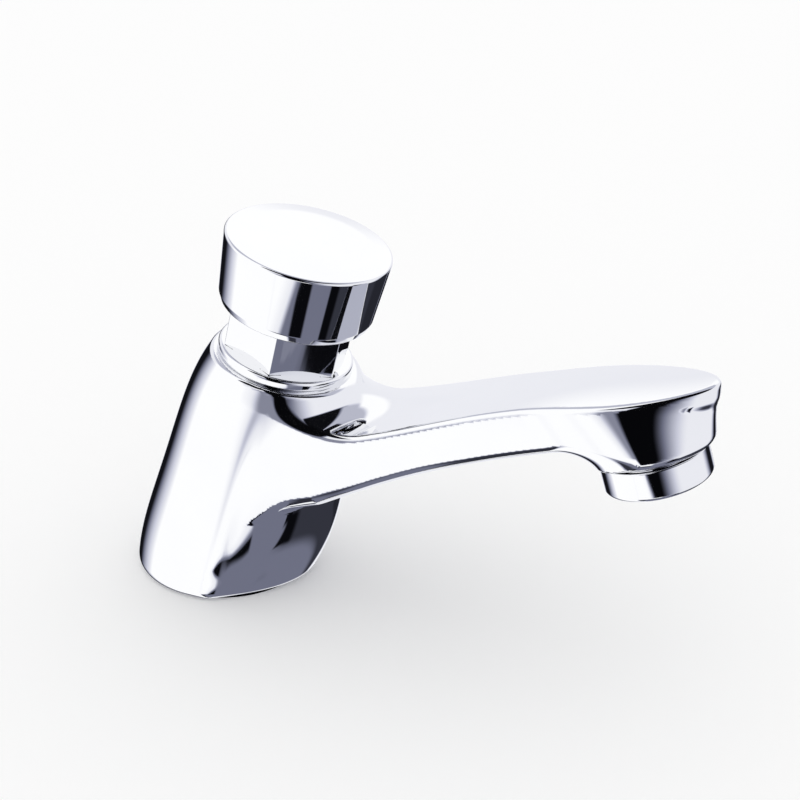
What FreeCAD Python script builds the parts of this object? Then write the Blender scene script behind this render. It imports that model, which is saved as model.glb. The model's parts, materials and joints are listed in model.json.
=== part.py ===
import FreeCAD, Part
import math
import os
import re

import Sketcher

# Self-closing basin tap: a cast body with a spout, a bonnet nut and a push cap on a leaning axis.
# Millimetres, +Z up, +X along the spout. The origin is the centre of the round base, on the basin's deck.
# Pieces on the leaning axis are drawn upright, with heights counted from where that axis meets the
# deck, and their Placement leans them. Outlet pieces are drawn the same way about the outlet's axis.

Vector = FreeCAD.Vector

# Driving sizes: name, value, what it measures.
SIZE_ROWS = [
    ("lean", 13.0, "lean of the cap axis from upright, towards the spout, degrees"),
    ("axis_foot", 4.3, "X where the leaning axis meets the deck"),
    # cast body, column
    ("base_r", 24.4, "radius of the round base"),
    ("base_edge", 2.4, "rounding of the base's lower edge"),
    ("low_z", 14.0, "height of the low section"),
    ("low_x", 4.6, "centre of the low section"),
    ("low_long", 26.0, "half length of the low section"),
    ("low_wide", 23.6, "half width of the low section"),
    ("mid_z", 32.0, "height of the middle section"),
    ("mid_x", 9.8, "centre of the middle section"),
    ("mid_long", 24.9, "half length of the middle section"),
    ("mid_wide", 22.1, "half width of the middle section"),
    ("high_z", 50.0, "height of the high section"),
    ("high_x", 13.6, "centre of the high section"),
    ("high_long", 22.0, "half length of the high section"),
    ("high_wide", 20.3, "half width of the high section"),
    ("neck_r", 18.75, "radius of the body's top ring"),
    ("bonnet_seat", 65.0, "height of the body's top ring along the leaning axis"),
    ("neck_edge", 1.0, "bevel round the body's top ring"),
    # cast body, spout
    ("tip_x", 130.0, "X of the spout's tip"),
    ("head_top", 74.0, "height of the spout's upper edge at its head"),
    ("over_height", 90.0, "height of the block that the spout is cut from"),
    ("collar_r", 14.0, "radius of the collar round the outlet"),
    ("collar_hollow", 5.0, "radius of the hollow between the collar and the spout's underside"),
    ("spout_top_edge", 2.5, "rounding of the spout's upper edges"),
    ("spout_low_edge", 1.4, "rounding of the spout's lower edges"),
    ("saddle", 3.5, "radius of the hollow where the spout meets the column"),
    # waterways in the cast body
    ("valve_room_low", 13.5, "height of the floor of the room under the valve seat"),
    ("valve_room_r", 9.5, "radius of that room"),
    ("seat_level", 30.0, "height of the valve seat's face"),
    ("chamber_r", 13.0, "radius of the cartridge chamber"),
    ("bonnet_low", 56.0, "height of the bonnet's lower end"),
    ("bonnet_thread_r", 14.0, "radius of the bonnet's thread"),
    ("thread_gap", 0.05, "radial clearance of a thread"),
    ("fit_gap", 0.05, "radial clearance of a seated piece"),
    ("run_gap", 0.03, "radial clearance of a running fit"),
    ("inlet_r", 6.5, "radius of the inlet passage"),
    ("inlet_top", 21.0, "height of the inlet passage's end"),
    ("way_r", 4.0, "radius of the cored waterway in the spout"),
    ("way_start_x", 19.0, "X of the waterway's start in the chamber"),
    ("way_start_z", 30.0, "height of the waterway's start"),
    ("way_bend_x", 62.0, "X of the waterway's bend"),
    ("way_bend_z", 51.5, "height of the waterway's bend"),
    ("way_end_x", 107.0, "X of the waterway's end over the outlet"),
    ("way_end_z", 67.3, "height of the waterway's end"),
    # outlet and aerator
    ("outlet_lean", 18.0, "lean of the outlet's axis, degrees"),
    ("outlet_x", 115.3, "X of the outlet's centre on the collar's face"),
    ("outlet_z", 56.6, "height of the outlet's centre on the collar's face"),
    ("aerator_thread_r", 12.0, "radius of the aerator's thread"),
    ("aerator_thread_deep", 7.0, "depth of the outlet's threaded bore"),
    ("outlet_room_r", 9.2, "radius of the room over the aerator"),
    ("outlet_room_deep", 10.0, "depth of that room's wall"),
    ("outlet_roof_deep", 12.5, "depth of that room's pointed roof"),
    ("ring_r", 13.3, "outside radius of the aerator's ring"),
    ("ring_high", 7.4, "height of the aerator's ring under the collar"),
    ("ring_edge", 0.9, "rounding of the ring's lower edge"),
    ("ring_lip_r", 9.4, "radius of the ring's lower opening"),
    ("ring_lip_high", 1.4, "height of the ring's inner lip"),
    ("aerator_bore_r", 10.4, "radius of the ring's bore"),
    ("aerator_thread_high", 6.0, "height of the ring's threaded part"),
    ("mesh_high", 0.8, "thickness of the mesh disc"),
    ("mesh_hole_r", 0.8, "radius of a hole in the mesh disc"),
    ("mesh_step", 2.4, "distance between holes in the mesh disc"),
    ("mesh_rim", 1.8, "width of the mesh disc's plain rim"),
    ("insert_high", 8.4, "height of the aerator's plastic insert"),
    ("insert_floor", 1.2, "thickness of the insert's floor"),
    ("insert_wall", 1.2, "thickness of the insert's wall"),
    ("insert_hole_r", 0.9, "radius of a jet hole in the insert's floor"),
    ("insert_hole_ring", 6.2, "radius of the ring of jet holes"),
    ("regulator_high", 2.4, "height of the flow regulator"),
    ("regulator_hole_r", 0.8, "radius of a metering hole in the regulator"),
    ("regulator_hole_ring", 4.2, "radius of the ring of metering holes"),
    ("outlet_washer_high", 1.0, "thickness of the aerator's washer"),
    # bonnet nut
    ("flange_r", 17.4, "radius of the bonnet's flange"),
    ("flange_high", 2.7, "thickness of the bonnet's flange"),
    ("flange_edge", 0.7, "bevel of the flange's edges"),
    ("hex_across", 28.4, "width of the bonnet's hexagon across its flats"),
    ("hex_turn", 40.0, "turn of the hexagon about the leaning axis, degrees"),
    ("hex_top", 81.0, "height of the bonnet's top"),
    ("hex_edge", 0.9, "bevel of the hexagon's upper corners"),
    ("spring_bore_r", 10.5, "radius of the bonnet's bore round the spring"),
    ("spring_floor", 62.0, "height of the floor of that bore"),
    ("bush_r", 6.5, "radius of the guide bush"),
    ("bush_low", 58.0, "height of the guide bush's lower end"),
    ("bush_flange_r", 9.6, "radius of the guide bush's flange"),
    ("bush_flange_high", 1.0, "thickness of the guide bush's flange"),
    ("rod_seal_r", 7.5, "outside radius of the rod's seal"),
    ("bonnet_ring_level", 62.4, "height of the bonnet's O-ring"),
    ("bonnet_ring_wire", 0.8, "section radius of the bonnet's O-ring"),
    # valve seat and cartridge
    ("seat_hole_r", 5.5, "radius of the hole in the valve seat"),
    ("seat_high", 3.5, "height of the valve seat ring"),
    ("seat_wire", 0.8, "section radius of the seat's O-ring"),
    ("sleeve_bore_r", 9.5, "radius of the cartridge sleeve's bore"),
    ("port_low", 34.8, "height of the lower edge of the sleeve's ports"),
    ("port_high", 39.8, "height of the upper edge of the sleeve's ports"),
    ("port_half", 4.0, "half width of a port"),
    # push rod, piston and valve
    ("travel", 7.0, "travel of the push cap"),
    ("rod_r", 4.0, "radius of the push rod"),
    ("stem_r", 3.0, "radius of the push rod's stem"),
    ("tail_r", 2.6, "radius of the stem's threaded tail, under the shoulder that the valve disc meets"),
    ("rod_low", 21.5, "height of the push rod's lower end"),
    ("rod_edge", 0.5, "bevel of the rod's ends"),
    ("piston_top", 52.0, "height of the piston's top, at the rod's shoulder"),
    ("piston_high", 4.5, "height of the piston"),
    ("lip_low", 48.7, "height of the lip seal's groove"),
    ("lip_high", 1.9, "height of the lip seal's groove"),
    ("lip_deep", 2.0, "depth of the lip seal's groove"),
    ("metering_r", 0.5, "radius of the piston's metering hole"),
    ("metering_x", 5.4, "distance of the metering hole from the axis"),
    ("clip_r", 5.0, "outside radius of the piston's circlip"),
    ("clip_groove_r", 2.5, "radius of the circlip's groove in the stem"),
    ("clip_high", 0.9, "thickness of the circlip"),
    ("clip_mouth", 3.6, "width of the circlip's mouth"),
    ("disc_r", 8.0, "radius of the rubber valve disc"),
    ("disc_high", 3.0, "thickness of the rubber valve disc"),
    ("backing_r", 7.4, "radius of the washer behind the valve disc"),
    ("backing_high", 1.3, "thickness of that washer"),
    ("valve_nut_across", 8.0, "width of the valve nut across its flats"),
    ("valve_nut_high", 3.1, "height of the valve nut"),
    # return spring
    ("spring_r", 8.3, "mean radius of the return spring"),
    ("wire_r", 0.7, "radius of the spring's wire"),
    ("spring_turns", 5.0, "open turns of the return spring"),
    ("spring_seat_low", 82.5, "height of the washer on top of the spring"),
    ("spring_seat_high", 1.5, "thickness of that washer"),
    ("spring_seat_r", 10.0, "radius of that washer"),
    # push cap
    ("cap_nut_across", 13.0, "width of the cap's lock nut across its flats"),
    ("cap_nut_high", 3.0, "height of the cap's lock nut"),
    ("cap_rim", 97.8, "height of the cap's upper rim"),
    ("cap_crown", 0.9, "rise of the cap's crown over its rim"),
    ("cap_crown_x", 10.0, "radius at which the crown's curve has its middle"),
    ("cap_crown_bend", 200.0, "radius of the crown's curve"),
    ("cap_top_r", 21.1, "radius of the cap at its upper rim"),
    ("cap_top_edge", 0.8, "rounding of the cap's upper rim"),
    ("cap_low", 79.5, "height of the cap's lower rim"),
    ("cap_low_r", 19.5, "radius of the cap at its lower rim"),
    ("cap_low_edge", 2.0, "rounding of the cap's lower rim"),
    ("cap_bore_r", 17.2, "radius inside the cap's skirt"),
    ("cap_plate", 3.2, "thickness of the cap's top under its rim"),
    ("cap_boss_r", 7.5, "radius of the cap's threaded boss"),
    ("rod_top", 93.0, "height of the push rod's upper end"),
    # inlet and fixing kit
    ("shank_r", 10.48, "radius of the G1/2 threaded shank"),
    ("shank_low", -50.0, "height of the shank's lower end"),
    ("shank_top", 10.0, "height of the shank's upper end, screwed into the body"),
    ("shank_edge", 1.0, "bevel of the shank's ends"),
    ("tail_long", 14.0, "length of the shank's end that takes the supply connector"),
    ("tail_groove_high", 2.0, "height of the groove above that end"),
    ("tail_groove_r", 9.3, "radius of that groove"),
    ("shank_ring_wire", 1.0, "section radius of the shank's O-ring"),
    ("shank_ring_room", 3.0, "depth of the recess for the shank's O-ring"),
    ("gasket_in_r", 17.0, "inside radius of the base gasket"),
    ("gasket_out_r", 21.0, "outside radius of the base gasket"),
    ("gasket_high", 2.0, "thickness of the base gasket"),
    ("deck_gap", 21.0, "room for the basin between the base and the deck washer"),
    ("rubber_r", 20.0, "radius of the rubber washer under the deck"),
    ("rubber_high", 3.0, "thickness of that rubber washer"),
    ("plate_r", 19.0, "radius of the metal washer"),
    ("plate_high", 1.6, "thickness of the metal washer"),
    ("washer_gap", 0.2, "radial clearance of the washers on the shank"),
    ("lock_across", 27.0, "width of the lock nut across its flats"),
    ("lock_flange_r", 16.0, "radius of the lock nut's flange"),
    ("lock_flange_high", 1.8, "thickness of the lock nut's flange"),
    ("lock_high", 7.5, "height of the lock nut"),
    ("strainer_high", 4.0, "height of the inlet strainer"),
    ("strainer_wall", 0.8, "wall of the inlet strainer"),
    ("strainer_hole_r", 0.6, "radius of a hole in the strainer"),
    ("strainer_step", 1.8, "distance between holes in the strainer"),
    ("strainer_rim", 1.2, "width of the strainer's plain rim"),
    ("nut_edge", 0.6, "bevel of a small nut's corners"),
]

# Poles (x, z) of the two curves that shape the spout from the side, from the root to past the tip.
TOP_POLES = [(5.0, 47.6), (26.8, 48.9), (48.7, 52.8), (70.5, 62.2), (92.3, 68.7), (114.2, 73.9),
             (136.0, 77.9)]
UNDER_POLES = [(14.0, 16.6), (34.5, 32.4), (55.0, 42.5), (75.5, 51.3), (88.5, 56.0), (93.5, 57.8)]
# Poles (x, y) of the spout's flank from above: where the flank is upright, and then round the head, once
# at the outlet's height and once at the head's upper edge.
FLANK_POLES = [(12.0, 18.9), (31.6, 16.7), (49.1, 15.4), (67.9, 13.2), (84.0, 12.1)]
LOW_HEAD_POLES = [(102.7, 13.3), (125.1, 15.0), (130.3, 1.8)]
HIGH_HEAD_POLES = [(102.3, 13.9), (119.0, 11.3), (130.4, 2.8)]
# Poles (x, y) of the curve that pares the column's flanks in towards the spout.
PARE_POLES = [(8.0, 28.0), (12.0, 21.8), (17.0, 19.3), (22.0, 18.7), (28.0, 19.0)]
for group, poles, across in (("top", TOP_POLES, "z"), ("under", UNDER_POLES, "z"), ("flank", FLANK_POLES, "y"),
                             ("low_head", LOW_HEAD_POLES, "y"), ("high_head", HIGH_HEAD_POLES, "y"),
                             ("pare", PARE_POLES, "y")):
    for k, (pole_x, pole_out) in enumerate(poles):
        SIZE_ROWS.append((f"{group}_pole{k}_x", pole_x, f"X of pole {k} of the spout's {group} line"))
        SIZE_ROWS.append((f"{group}_pole{k}_{across}", pole_out, f"{across} of pole {k} of the spout's {group} line"))
SIZE_NAMES = {row[0] for row in SIZE_ROWS}

doc = FreeCAD.newDocument("BasinTap")
sheet = doc.addObject("Spreadsheet::Sheet", "Sizes")
for row, (alias, number, meaning) in enumerate(SIZE_ROWS, start=1):
    sheet.set(f"A{row}", meaning)
    sheet.set(f"B{row}", str(number))
    sheet.setAlias(f"B{row}", alias)
doc.recompute()

parts = []


def bound(formula):
    """A formula in size names, written as an expression on the sheet's cells."""
    return re.sub(r"[a-z][a-z0-9_]*",
                  lambda hit: "Sizes." + hit.group() if hit.group() in SIZE_NAMES else hit.group(),
                  str(formula))


def number_of(formula):
    """The number that a formula in size names has now."""
    return float(sheet.evalExpression(bound(formula)))


def plane_of(body, role):
    """One of a body's own origin planes."""
    return next(item for item in body.Origin.OriginFeatures if item.Role == role)


def new_body(label):
    """An empty body, listed as a part."""
    body = doc.addObject("PartDesign::Body", label)
    body.Label = label
    parts.append(body)
    return body


def stand(body, x="0", z="0", lean="0"):
    """Place a body at (x, 0, z) in the middle plane, leaning towards the spout by an angle."""
    body.Placement = FreeCAD.Placement(Vector(), FreeCAD.Rotation(Vector(0, 1, 0), 1.0))
    body.setExpression("Placement.Base.x", bound(x))
    body.setExpression("Placement.Base.z", bound(z))
    body.setExpression("Placement.Rotation.Angle", bound(lean))


def new_sketch(body, name, role="XZ_Plane", x="0", up="0", out="0", turn="0", axis=Vector(0, 0, 1)):
    """A sketch on an origin plane, moved by (x, up) in it and out along its normal, and turned."""
    sketch = body.newObject("Sketcher::SketchObject", name)
    sketch.AttachmentSupport = [(plane_of(body, role), "")]
    sketch.MapMode = "FlatFace"
    sketch.AttachmentOffset = FreeCAD.Placement(Vector(), FreeCAD.Rotation(axis, 1.0))
    sketch.setExpression("AttachmentOffset.Base.x", bound(x))
    sketch.setExpression("AttachmentOffset.Base.y", bound(up))
    sketch.setExpression("AttachmentOffset.Base.z", bound(out))
    sketch.setExpression("AttachmentOffset.Rotation.Angle", bound(turn))
    return sketch


def fix(sketch, kind, *references, formula):
    """A dimension in a sketch, bound to a formula in size names."""
    index = sketch.addConstraint(Sketcher.Constraint(kind, *references, number_of(formula)))
    sketch.setExpression(f"Constraints[{index}]", bound(formula))


def fix_point(sketch, geometry, end, x, y):
    """Hold a point of a sketch at (x, y) from the sketch's origin."""
    fix(sketch, "DistanceX", -1, 1, geometry, end, formula=x)
    fix(sketch, "DistanceY", -1, 1, geometry, end, formula=y)


def draw_outline(sketch, corners):
    """A closed outline of straight sides. A corner is (x, y), or (x, y, radius) where it is rounded."""
    spots = [Vector(number_of(corner[0]), number_of(corner[1]), 0) for corner in corners]
    count = len(corners)
    starts, ends = list(spots), list(spots)
    arcs = {}
    for k, corner in enumerate(corners):
        if len(corner) == 3:
            radius = number_of(corner[2])
            back = (spots[k - 1] - spots[k]).normalize()
            ahead = (spots[(k + 1) % count] - spots[k]).normalize()
            half = back.getAngle(ahead) / 2
            reach = radius / math.tan(half)
            ends[k] = spots[k] + back * reach
            starts[k] = spots[k] + ahead * reach
            centre = spots[k] + (back + ahead).normalize() * (radius / math.sin(half))
            middle = centre + (spots[k] - centre).normalize() * radius
            leftward = back.cross(ahead).z < 0
            ordered = (ends[k], middle, starts[k]) if leftward else (starts[k], middle, ends[k])
            arcs[k] = (Part.Arc(*ordered), 1 if leftward else 2)
    sides = [sketch.addGeometry(Part.LineSegment(starts[k], ends[(k + 1) % count])) for k in range(count)]
    for k, corner in enumerate(corners):
        before, after = sides[k - 1], sides[k]
        if k not in arcs:
            sketch.addConstraint(Sketcher.Constraint("Coincident", before, 2, after, 1))
            fix_point(sketch, after, 1, corner[0], corner[1])
            continue
        curve, first = arcs[k]
        arc = sketch.addGeometry(curve)
        tip = sketch.addGeometry(Part.Point(spots[k]), True)
        sketch.addConstraint(Sketcher.Constraint("Tangent", before, 2, arc, first))
        sketch.addConstraint(Sketcher.Constraint("Tangent", arc, 3 - first, after, 1))
        sketch.addConstraint(Sketcher.Constraint("PointOnObject", tip, 1, before))
        sketch.addConstraint(Sketcher.Constraint("PointOnObject", tip, 1, after))
        fix_point(sketch, tip, 1, corner[0], corner[1])
        fix(sketch, "Radius", arc, formula=corner[2])


def draw_circle(sketch, radius, x="0", y="0"):
    """A circle of a radius about (x, y)."""
    spot = Vector(number_of(x), number_of(y), 0)
    circle = sketch.addGeometry(Part.Circle(spot, Vector(0, 0, 1), number_of(radius)))
    fix(sketch, "Radius", circle, formula=radius)
    fix_point(sketch, circle, 3, x, y)


def draw_spline_region(sketch, poles, far):
    """The region between a B-spline through poles and a level line at a height far from it."""
    spots = [Vector(number_of(x), number_of(y), 0) for x, y in poles]
    curve = Part.BSplineCurve()
    curve.buildFromPoles(spots, False, 3)
    spline = sketch.addGeometry(curve)
    sketch.exposeInternalGeometry(spline)
    for k, (x, y) in enumerate(poles):
        fix_point(sketch, spline + 1 + k, 3, x, y)
    first, last = spots[0], spots[-1]
    far_first = Vector(first.x, number_of(far), 0)
    far_last = Vector(last.x, number_of(far), 0)
    fall = sketch.addGeometry(Part.LineSegment(last, far_last))
    back = sketch.addGeometry(Part.LineSegment(far_last, far_first))
    rise = sketch.addGeometry(Part.LineSegment(far_first, first))
    for pair in ((spline, 2, fall, 1), (fall, 2, back, 1), (back, 2, rise, 1), (rise, 2, spline, 1)):
        sketch.addConstraint(Sketcher.Constraint("Coincident", *pair))
    for side in (fall, rise):
        sketch.addConstraint(Sketcher.Constraint("Vertical", side))
    sketch.addConstraint(Sketcher.Constraint("Horizontal", back))
    fix(sketch, "DistanceY", -1, 1, back, 1, formula=far)


def draw_oval(sketch, half_long, half_wide):
    """An ellipse about the sketch's origin, its long axis level."""
    long, wide = number_of(half_long), number_of(half_wide)
    oval = sketch.addGeometry(Part.Ellipse(Vector(long, 0, 0), Vector(0, wide, 0), Vector()))
    sketch.exposeInternalGeometry(oval)
    sketch.addConstraint(Sketcher.Constraint("Coincident", oval, 3, -1, 1))
    sketch.addConstraint(Sketcher.Constraint("Horizontal", oval + 1))
    fix(sketch, "Distance", oval + 1, formula=f"2 * {half_long}")
    fix(sketch, "Distance", oval + 2, formula=f"2 * {half_wide}")


def hexagon(across, turn="0"):
    """Corners of a hexagon from its width across the flats."""
    return [(f"{across} / sqrt(3) * cos(({turn} + {60 * k}) * 1 deg)",
             f"{across} / sqrt(3) * sin(({turn} + {60 * k}) * 1 deg)") for k in range(6)]


def feature(body, kind, name, profile, **values):
    """A PartDesign feature on a profile sketch."""
    step = body.newObject("PartDesign::" + kind, name)
    step.Profile = profile
    for key, setting in values.items():
        setattr(step, key, setting)
    doc.recompute()
    return step


def turn_outline(body, name, corners, cut=False, **place):
    """Turn a half section about its sketch's upright axis, to add metal or to bore it out."""
    sketch = new_sketch(body, name + "_section", **place)
    draw_outline(sketch, corners)
    doc.recompute()
    return feature(body, "Groove" if cut else "Revolution", name, sketch,
                   ReferenceAxis=(sketch, ["V_Axis"]), Angle=360.0)


def cut_through(body, name, sketch):
    """Cut a sketch right through a body, both ways."""
    return feature(body, "Pocket", name, sketch, Type="ThroughAll", SideType="Symmetric")


def pad_up(body, name, sketch, depth):
    """Add metal upwards from a sketch by a depth."""
    step = feature(body, "Pad", name, sketch, Type="Length")
    step.setExpression("Length", bound(depth))
    doc.recompute()
    return step


def dress(body, kind, name, size, one_side, other_side):
    """Round or bevel the edges between the faces that one test accepts and those that another does."""
    base = body.Tip
    names = []
    for k, edge in enumerate(base.Shape.Edges, start=1):
        faces = base.Shape.ancestorsOfType(edge, Part.Face)
        pairs = [(faces[0], faces[-1]), (faces[-1], faces[0])]
        if any(one_side(one) and other_side(other) for one, other in pairs):
            names.append(f"Edge{k}")
    step = body.newObject("PartDesign::" + kind, name)
    step.Base = (base, names)
    step.setExpression("Radius" if kind == "Fillet" else "Size", bound(size))
    doc.recompute()
    return step


def facing(face):
    """The outward direction of a face at its middle."""
    low_u, high_u, low_v, high_v = face.ParameterRange
    return face.normalAt((low_u + high_u) / 2, (low_v + high_v) / 2)


def turned_part(label, corners, x="axis_foot", z="0", lean="lean"):
    """A part turned about its own axis and stood on that axis in the tap."""
    body = new_body(label)
    turn_outline(body, label + "_turn", corners)
    stand(body, x, z, lean)
    return body


def tube(in_r, out_r, low, high):
    """The half section of a plain ring."""
    return [(in_r, low), (out_r, low), (out_r, high), (in_r, high)]


def o_ring(label, ring_r, wire_r, height, x="axis_foot", lean="lean"):
    """A rubber O-ring, a circle turned about the axis."""
    body = new_body(label)
    sketch = new_sketch(body, label + "_section")
    draw_circle(sketch, wire_r, ring_r, height)
    doc.recompute()
    feature(body, "Revolution", label + "_turn", sketch, ReferenceAxis=(sketch, ["V_Axis"]), Angle=360.0)
    stand(body, x, "0", lean)
    return body


def hex_nut(label, across, low, high, hole_r, x="axis_foot", lean="lean"):
    """A hexagon nut, its upper and lower corners bevelled by a cone."""
    body = new_body(label)
    sketch = new_sketch(body, label + "_hexagon", "XY_Plane", out=low)
    draw_outline(sketch, hexagon(across))
    doc.recompute()
    pad_up(body, label + "_block", sketch, f"{high} - ({low})")
    hole = new_sketch(body, label + "_hole", "XY_Plane")
    draw_circle(hole, hole_r)
    doc.recompute()
    cut_through(body, label + "_bore", hole)
    corner = f"{across} / sqrt(3)"
    turn_outline(body, label + "_upper_bevel",
                 [(f"{corner} - nut_edge", high), (f"{corner} + nut_edge", high),
                  (f"{corner} + nut_edge", f"{high} - nut_edge * 1.2")], cut=True)
    turn_outline(body, label + "_lower_bevel",
                 [(f"{corner} - nut_edge", low), (f"{corner} + nut_edge", f"{low} + nut_edge * 1.2"),
                  (f"{corner} + nut_edge", low)], cut=True)
    stand(body, x, "0", lean)
    return body


def holes_on_grid(sketch, hole_r, step, reach):
    """Round holes on a triangular grid, all those that lie within a reach of the middle."""
    steps = int(number_of(reach) / number_of(step)) + 1
    for row in range(-steps, steps + 1):
        for column in range(-2 * steps, 2 * steps + 1):
            across = column + row / 2
            if math.hypot(across, row * math.sqrt(3) / 2) * number_of(step) < number_of(reach):
                draw_circle(sketch, hole_r, f"{step} * {across}", f"{step} * {row} * sqrt(3) / 2")


def draw_spout_plan(sketch, level):
    """The spout from above, where its straight walls pass a level: one spline from the near root round
    the head to the far root, closed at the root."""
    share = f"(({level}) - outlet_z) / (head_top - outlet_z)"
    near = [(f"flank_pole{k}_x", f"flank_pole{k}_y") for k in range(len(FLANK_POLES))]
    for k in range(len(LOW_HEAD_POLES)):
        near.append(tuple(f"low_head_pole{k}_{way} + (high_head_pole{k}_{way} - low_head_pole{k}_{way}) * {share}"
                          for way in "xy"))
    poles = [(x, f"-({y})") for x, y in near] + near[::-1]
    curve = Part.BSplineCurve()
    curve.buildFromPoles([Vector(number_of(x), number_of(y), 0) for x, y in poles], False, 3)
    spline = sketch.addGeometry(curve)
    sketch.exposeInternalGeometry(spline)
    for k, (x, y) in enumerate(poles):
        fix_point(sketch, spline + 1 + k, 3, x, y)
    root = sketch.addGeometry(Part.LineSegment(curve.EndPoint, curve.StartPoint))
    sketch.addConstraint(Sketcher.Constraint("Coincident", spline, 2, root, 1))
    sketch.addConstraint(Sketcher.Constraint("Coincident", root, 2, spline, 1))


def make_spout(body):
    """The spout: a block with the walls of its plan, cut to its outline from the side and rounded."""
    low_plan = new_sketch(body, "low_plan", "XY_Plane")
    draw_spout_plan(low_plan, "0")
    high_plan = new_sketch(body, "high_plan", "XY_Plane", out="over_height")
    draw_spout_plan(high_plan, "over_height")
    doc.recompute()
    block = feature(body, "AdditiveLoft", "spout_block", low_plan)
    block.Sections = [high_plan]
    block.Ruled = True
    doc.recompute()

    def is_side(face):
        return face.BoundBox.XLength > 60 and abs(facing(face).z) < 0.4

    over = new_sketch(body, "over_spout")
    draw_spline_region(over, [(f"top_pole{k}_x", f"top_pole{k}_z") for k in range(len(TOP_POLES))],
                       "over_height + 5")
    doc.recompute()
    cut_through(body, "cut_over_spout", over)
    dress(body, "Fillet", "top_edges", "spout_top_edge", lambda face: facing(face).z > 0.7, is_side)

    # The underside's curve turns down into the collar's flat face, which lies square to the outlet's axis.
    # Then the back of the collar is rounded about that axis, with a hollow above it.
    slope = "tan(outlet_lean * 1 deg)"
    face_poles = [(x, f"outlet_z + ({x} - outlet_x) * {slope}") for x in (
        "outlet_x - collar_r - 2", "outlet_x - collar_r", "outlet_x", "outlet_x + collar_r", "tip_x + 8")]
    under = new_sketch(body, "under_spout")
    draw_spline_region(under, [(f"under_pole{k}_x", f"under_pole{k}_z")
                               for k in range(len(UNDER_POLES))] + face_poles, "-5")
    doc.recompute()
    cut_through(body, "cut_under_spout", under)
    dress(body, "Fillet", "low_edges", "spout_low_edge",
          lambda face: facing(face).z < -0.3 and face.BoundBox.ZMax > 1, is_side)
    back = turn_outline(body, "collar_back", [
        ("-collar_r", "-2"), ("-collar_r", "collar_hollow + 2.1", "collar_hollow"),
        ("-collar_r - 12", "collar_hollow + 2.7"), ("-collar_r - 12", "-2")],
        cut=True, x="outlet_x", up="outlet_z", turn="outlet_lean")
    back.Midplane = True
    back.Angle = 180.0
    doc.recompute()


def make_column(body):
    """The leaning column: a loft from the round base through three ovals to the top ring."""
    base = new_sketch(body, "base_circle", "XY_Plane")
    draw_circle(base, "base_r")
    ovals = []
    for level in ("low", "mid", "high"):
        oval = new_sketch(body, level + "_oval", "XY_Plane", x=level + "_x", out=level + "_z")
        draw_oval(oval, level + "_long", level + "_wide")
        ovals.append(oval)
    ring = new_sketch(body, "ring_circle", "XY_Plane", x="axis_foot + bonnet_seat * sin(lean * 1 deg)",
                      out="bonnet_seat * cos(lean * 1 deg)", turn="lean", axis=Vector(0, 1, 0))
    draw_circle(ring, "neck_r")
    doc.recompute()
    loft = feature(body, "AdditiveLoft", "column", base)
    loft.Sections = ovals + [ring]
    doc.recompute()

    def is_column(face):
        return face.BoundBox.XMin < 0 and face.BoundBox.ZLength > 20

    def is_spout(face):
        return face.BoundBox.XMax > number_of("outlet_x") - 40

    def is_under(face):
        return face.BoundBox.ZMax < 0.01

    def is_top_ring(face):
        return facing(face).z > 0.9 and face.BoundBox.XMin < 5

    dress(body, "Fillet", "saddle_hollow", "saddle", is_column, is_spout)
    dress(body, "Fillet", "base_rounding", "base_edge", is_column, is_under)
    dress(body, "Chamfer", "neck_bevel", "neck_edge", is_column, is_top_ring)
    for name, side in (("near_flank", "-"), ("far_flank", "")):
        flank = new_sketch(body, name, "XY_Plane")
        draw_spline_region(flank, [(f"pare_pole{k}_x", f"{side}pare_pole{k}_y") for k in range(len(PARE_POLES))],
                           f"{side}(base_r + 8)")
        doc.recompute()
        cut_through(body, "pare_" + name, flank)


def make_waterways(body):
    """The bores: the cartridge's on the leaning axis, the inlet's upright, the spout's and the outlet's."""
    turn_outline(body, "cartridge_bore", [
        ("0", "valve_room_low"), ("valve_room_r", "valve_room_low"), ("valve_room_r", "seat_level"),
        ("chamber_r", "seat_level"), ("chamber_r", "bonnet_low"),
        ("bonnet_thread_r + thread_gap", "bonnet_low"), ("bonnet_thread_r + thread_gap", "bonnet_seat + 2"),
        ("0", "bonnet_seat + 2")], cut=True, x="axis_foot", turn="-lean")
    turn_outline(body, "shank_socket", [
        ("0", "-2"), (SHANK_RECESS, "-2"), (SHANK_RECESS, "shank_ring_room"),
        ("shank_r + thread_gap", "shank_ring_room"), ("shank_r + thread_gap", "shank_top"),
        ("inlet_r", "shank_top"), ("inlet_r", "inlet_top"), ("0", "inlet_top")], cut=True)
    turn_outline(body, "gasket_groove", tube("gasket_in_r", "gasket_out_r", "-2", "gasket_high"), cut=True)
    for name, start, end in (("lower_waterway", "start", "bend"), ("upper_waterway", "bend", "end")):
        run, rise = f"(way_{end}_x - way_{start}_x)", f"(way_{end}_z - way_{start}_z)"
        length = f"sqrt({run} * {run} + {rise} * {rise}) + way_r / 4"
        turn_outline(body, name, tube("0", "way_r", "0", length), cut=True,
                     x=f"way_{start}_x", up=f"way_{start}_z", turn=f"-atan({run} / {rise})")
    turn_outline(body, "outlet_bore", [
        ("0", "-2"), ("aerator_thread_r + thread_gap", "-2"),
        ("aerator_thread_r + thread_gap", "aerator_thread_deep"), ("outlet_room_r", "aerator_thread_deep"),
        ("outlet_room_r", "outlet_room_deep"), ("0", "outlet_roof_deep")],
        cut=True, x="outlet_x", up="outlet_z", turn="outlet_lean")


def make_tap_body():
    """The cast body, with its spout, column and waterways in one piece."""
    body = new_body("tap_body")
    make_spout(body)
    make_column(body)
    make_waterways(body)
    return body


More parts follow.
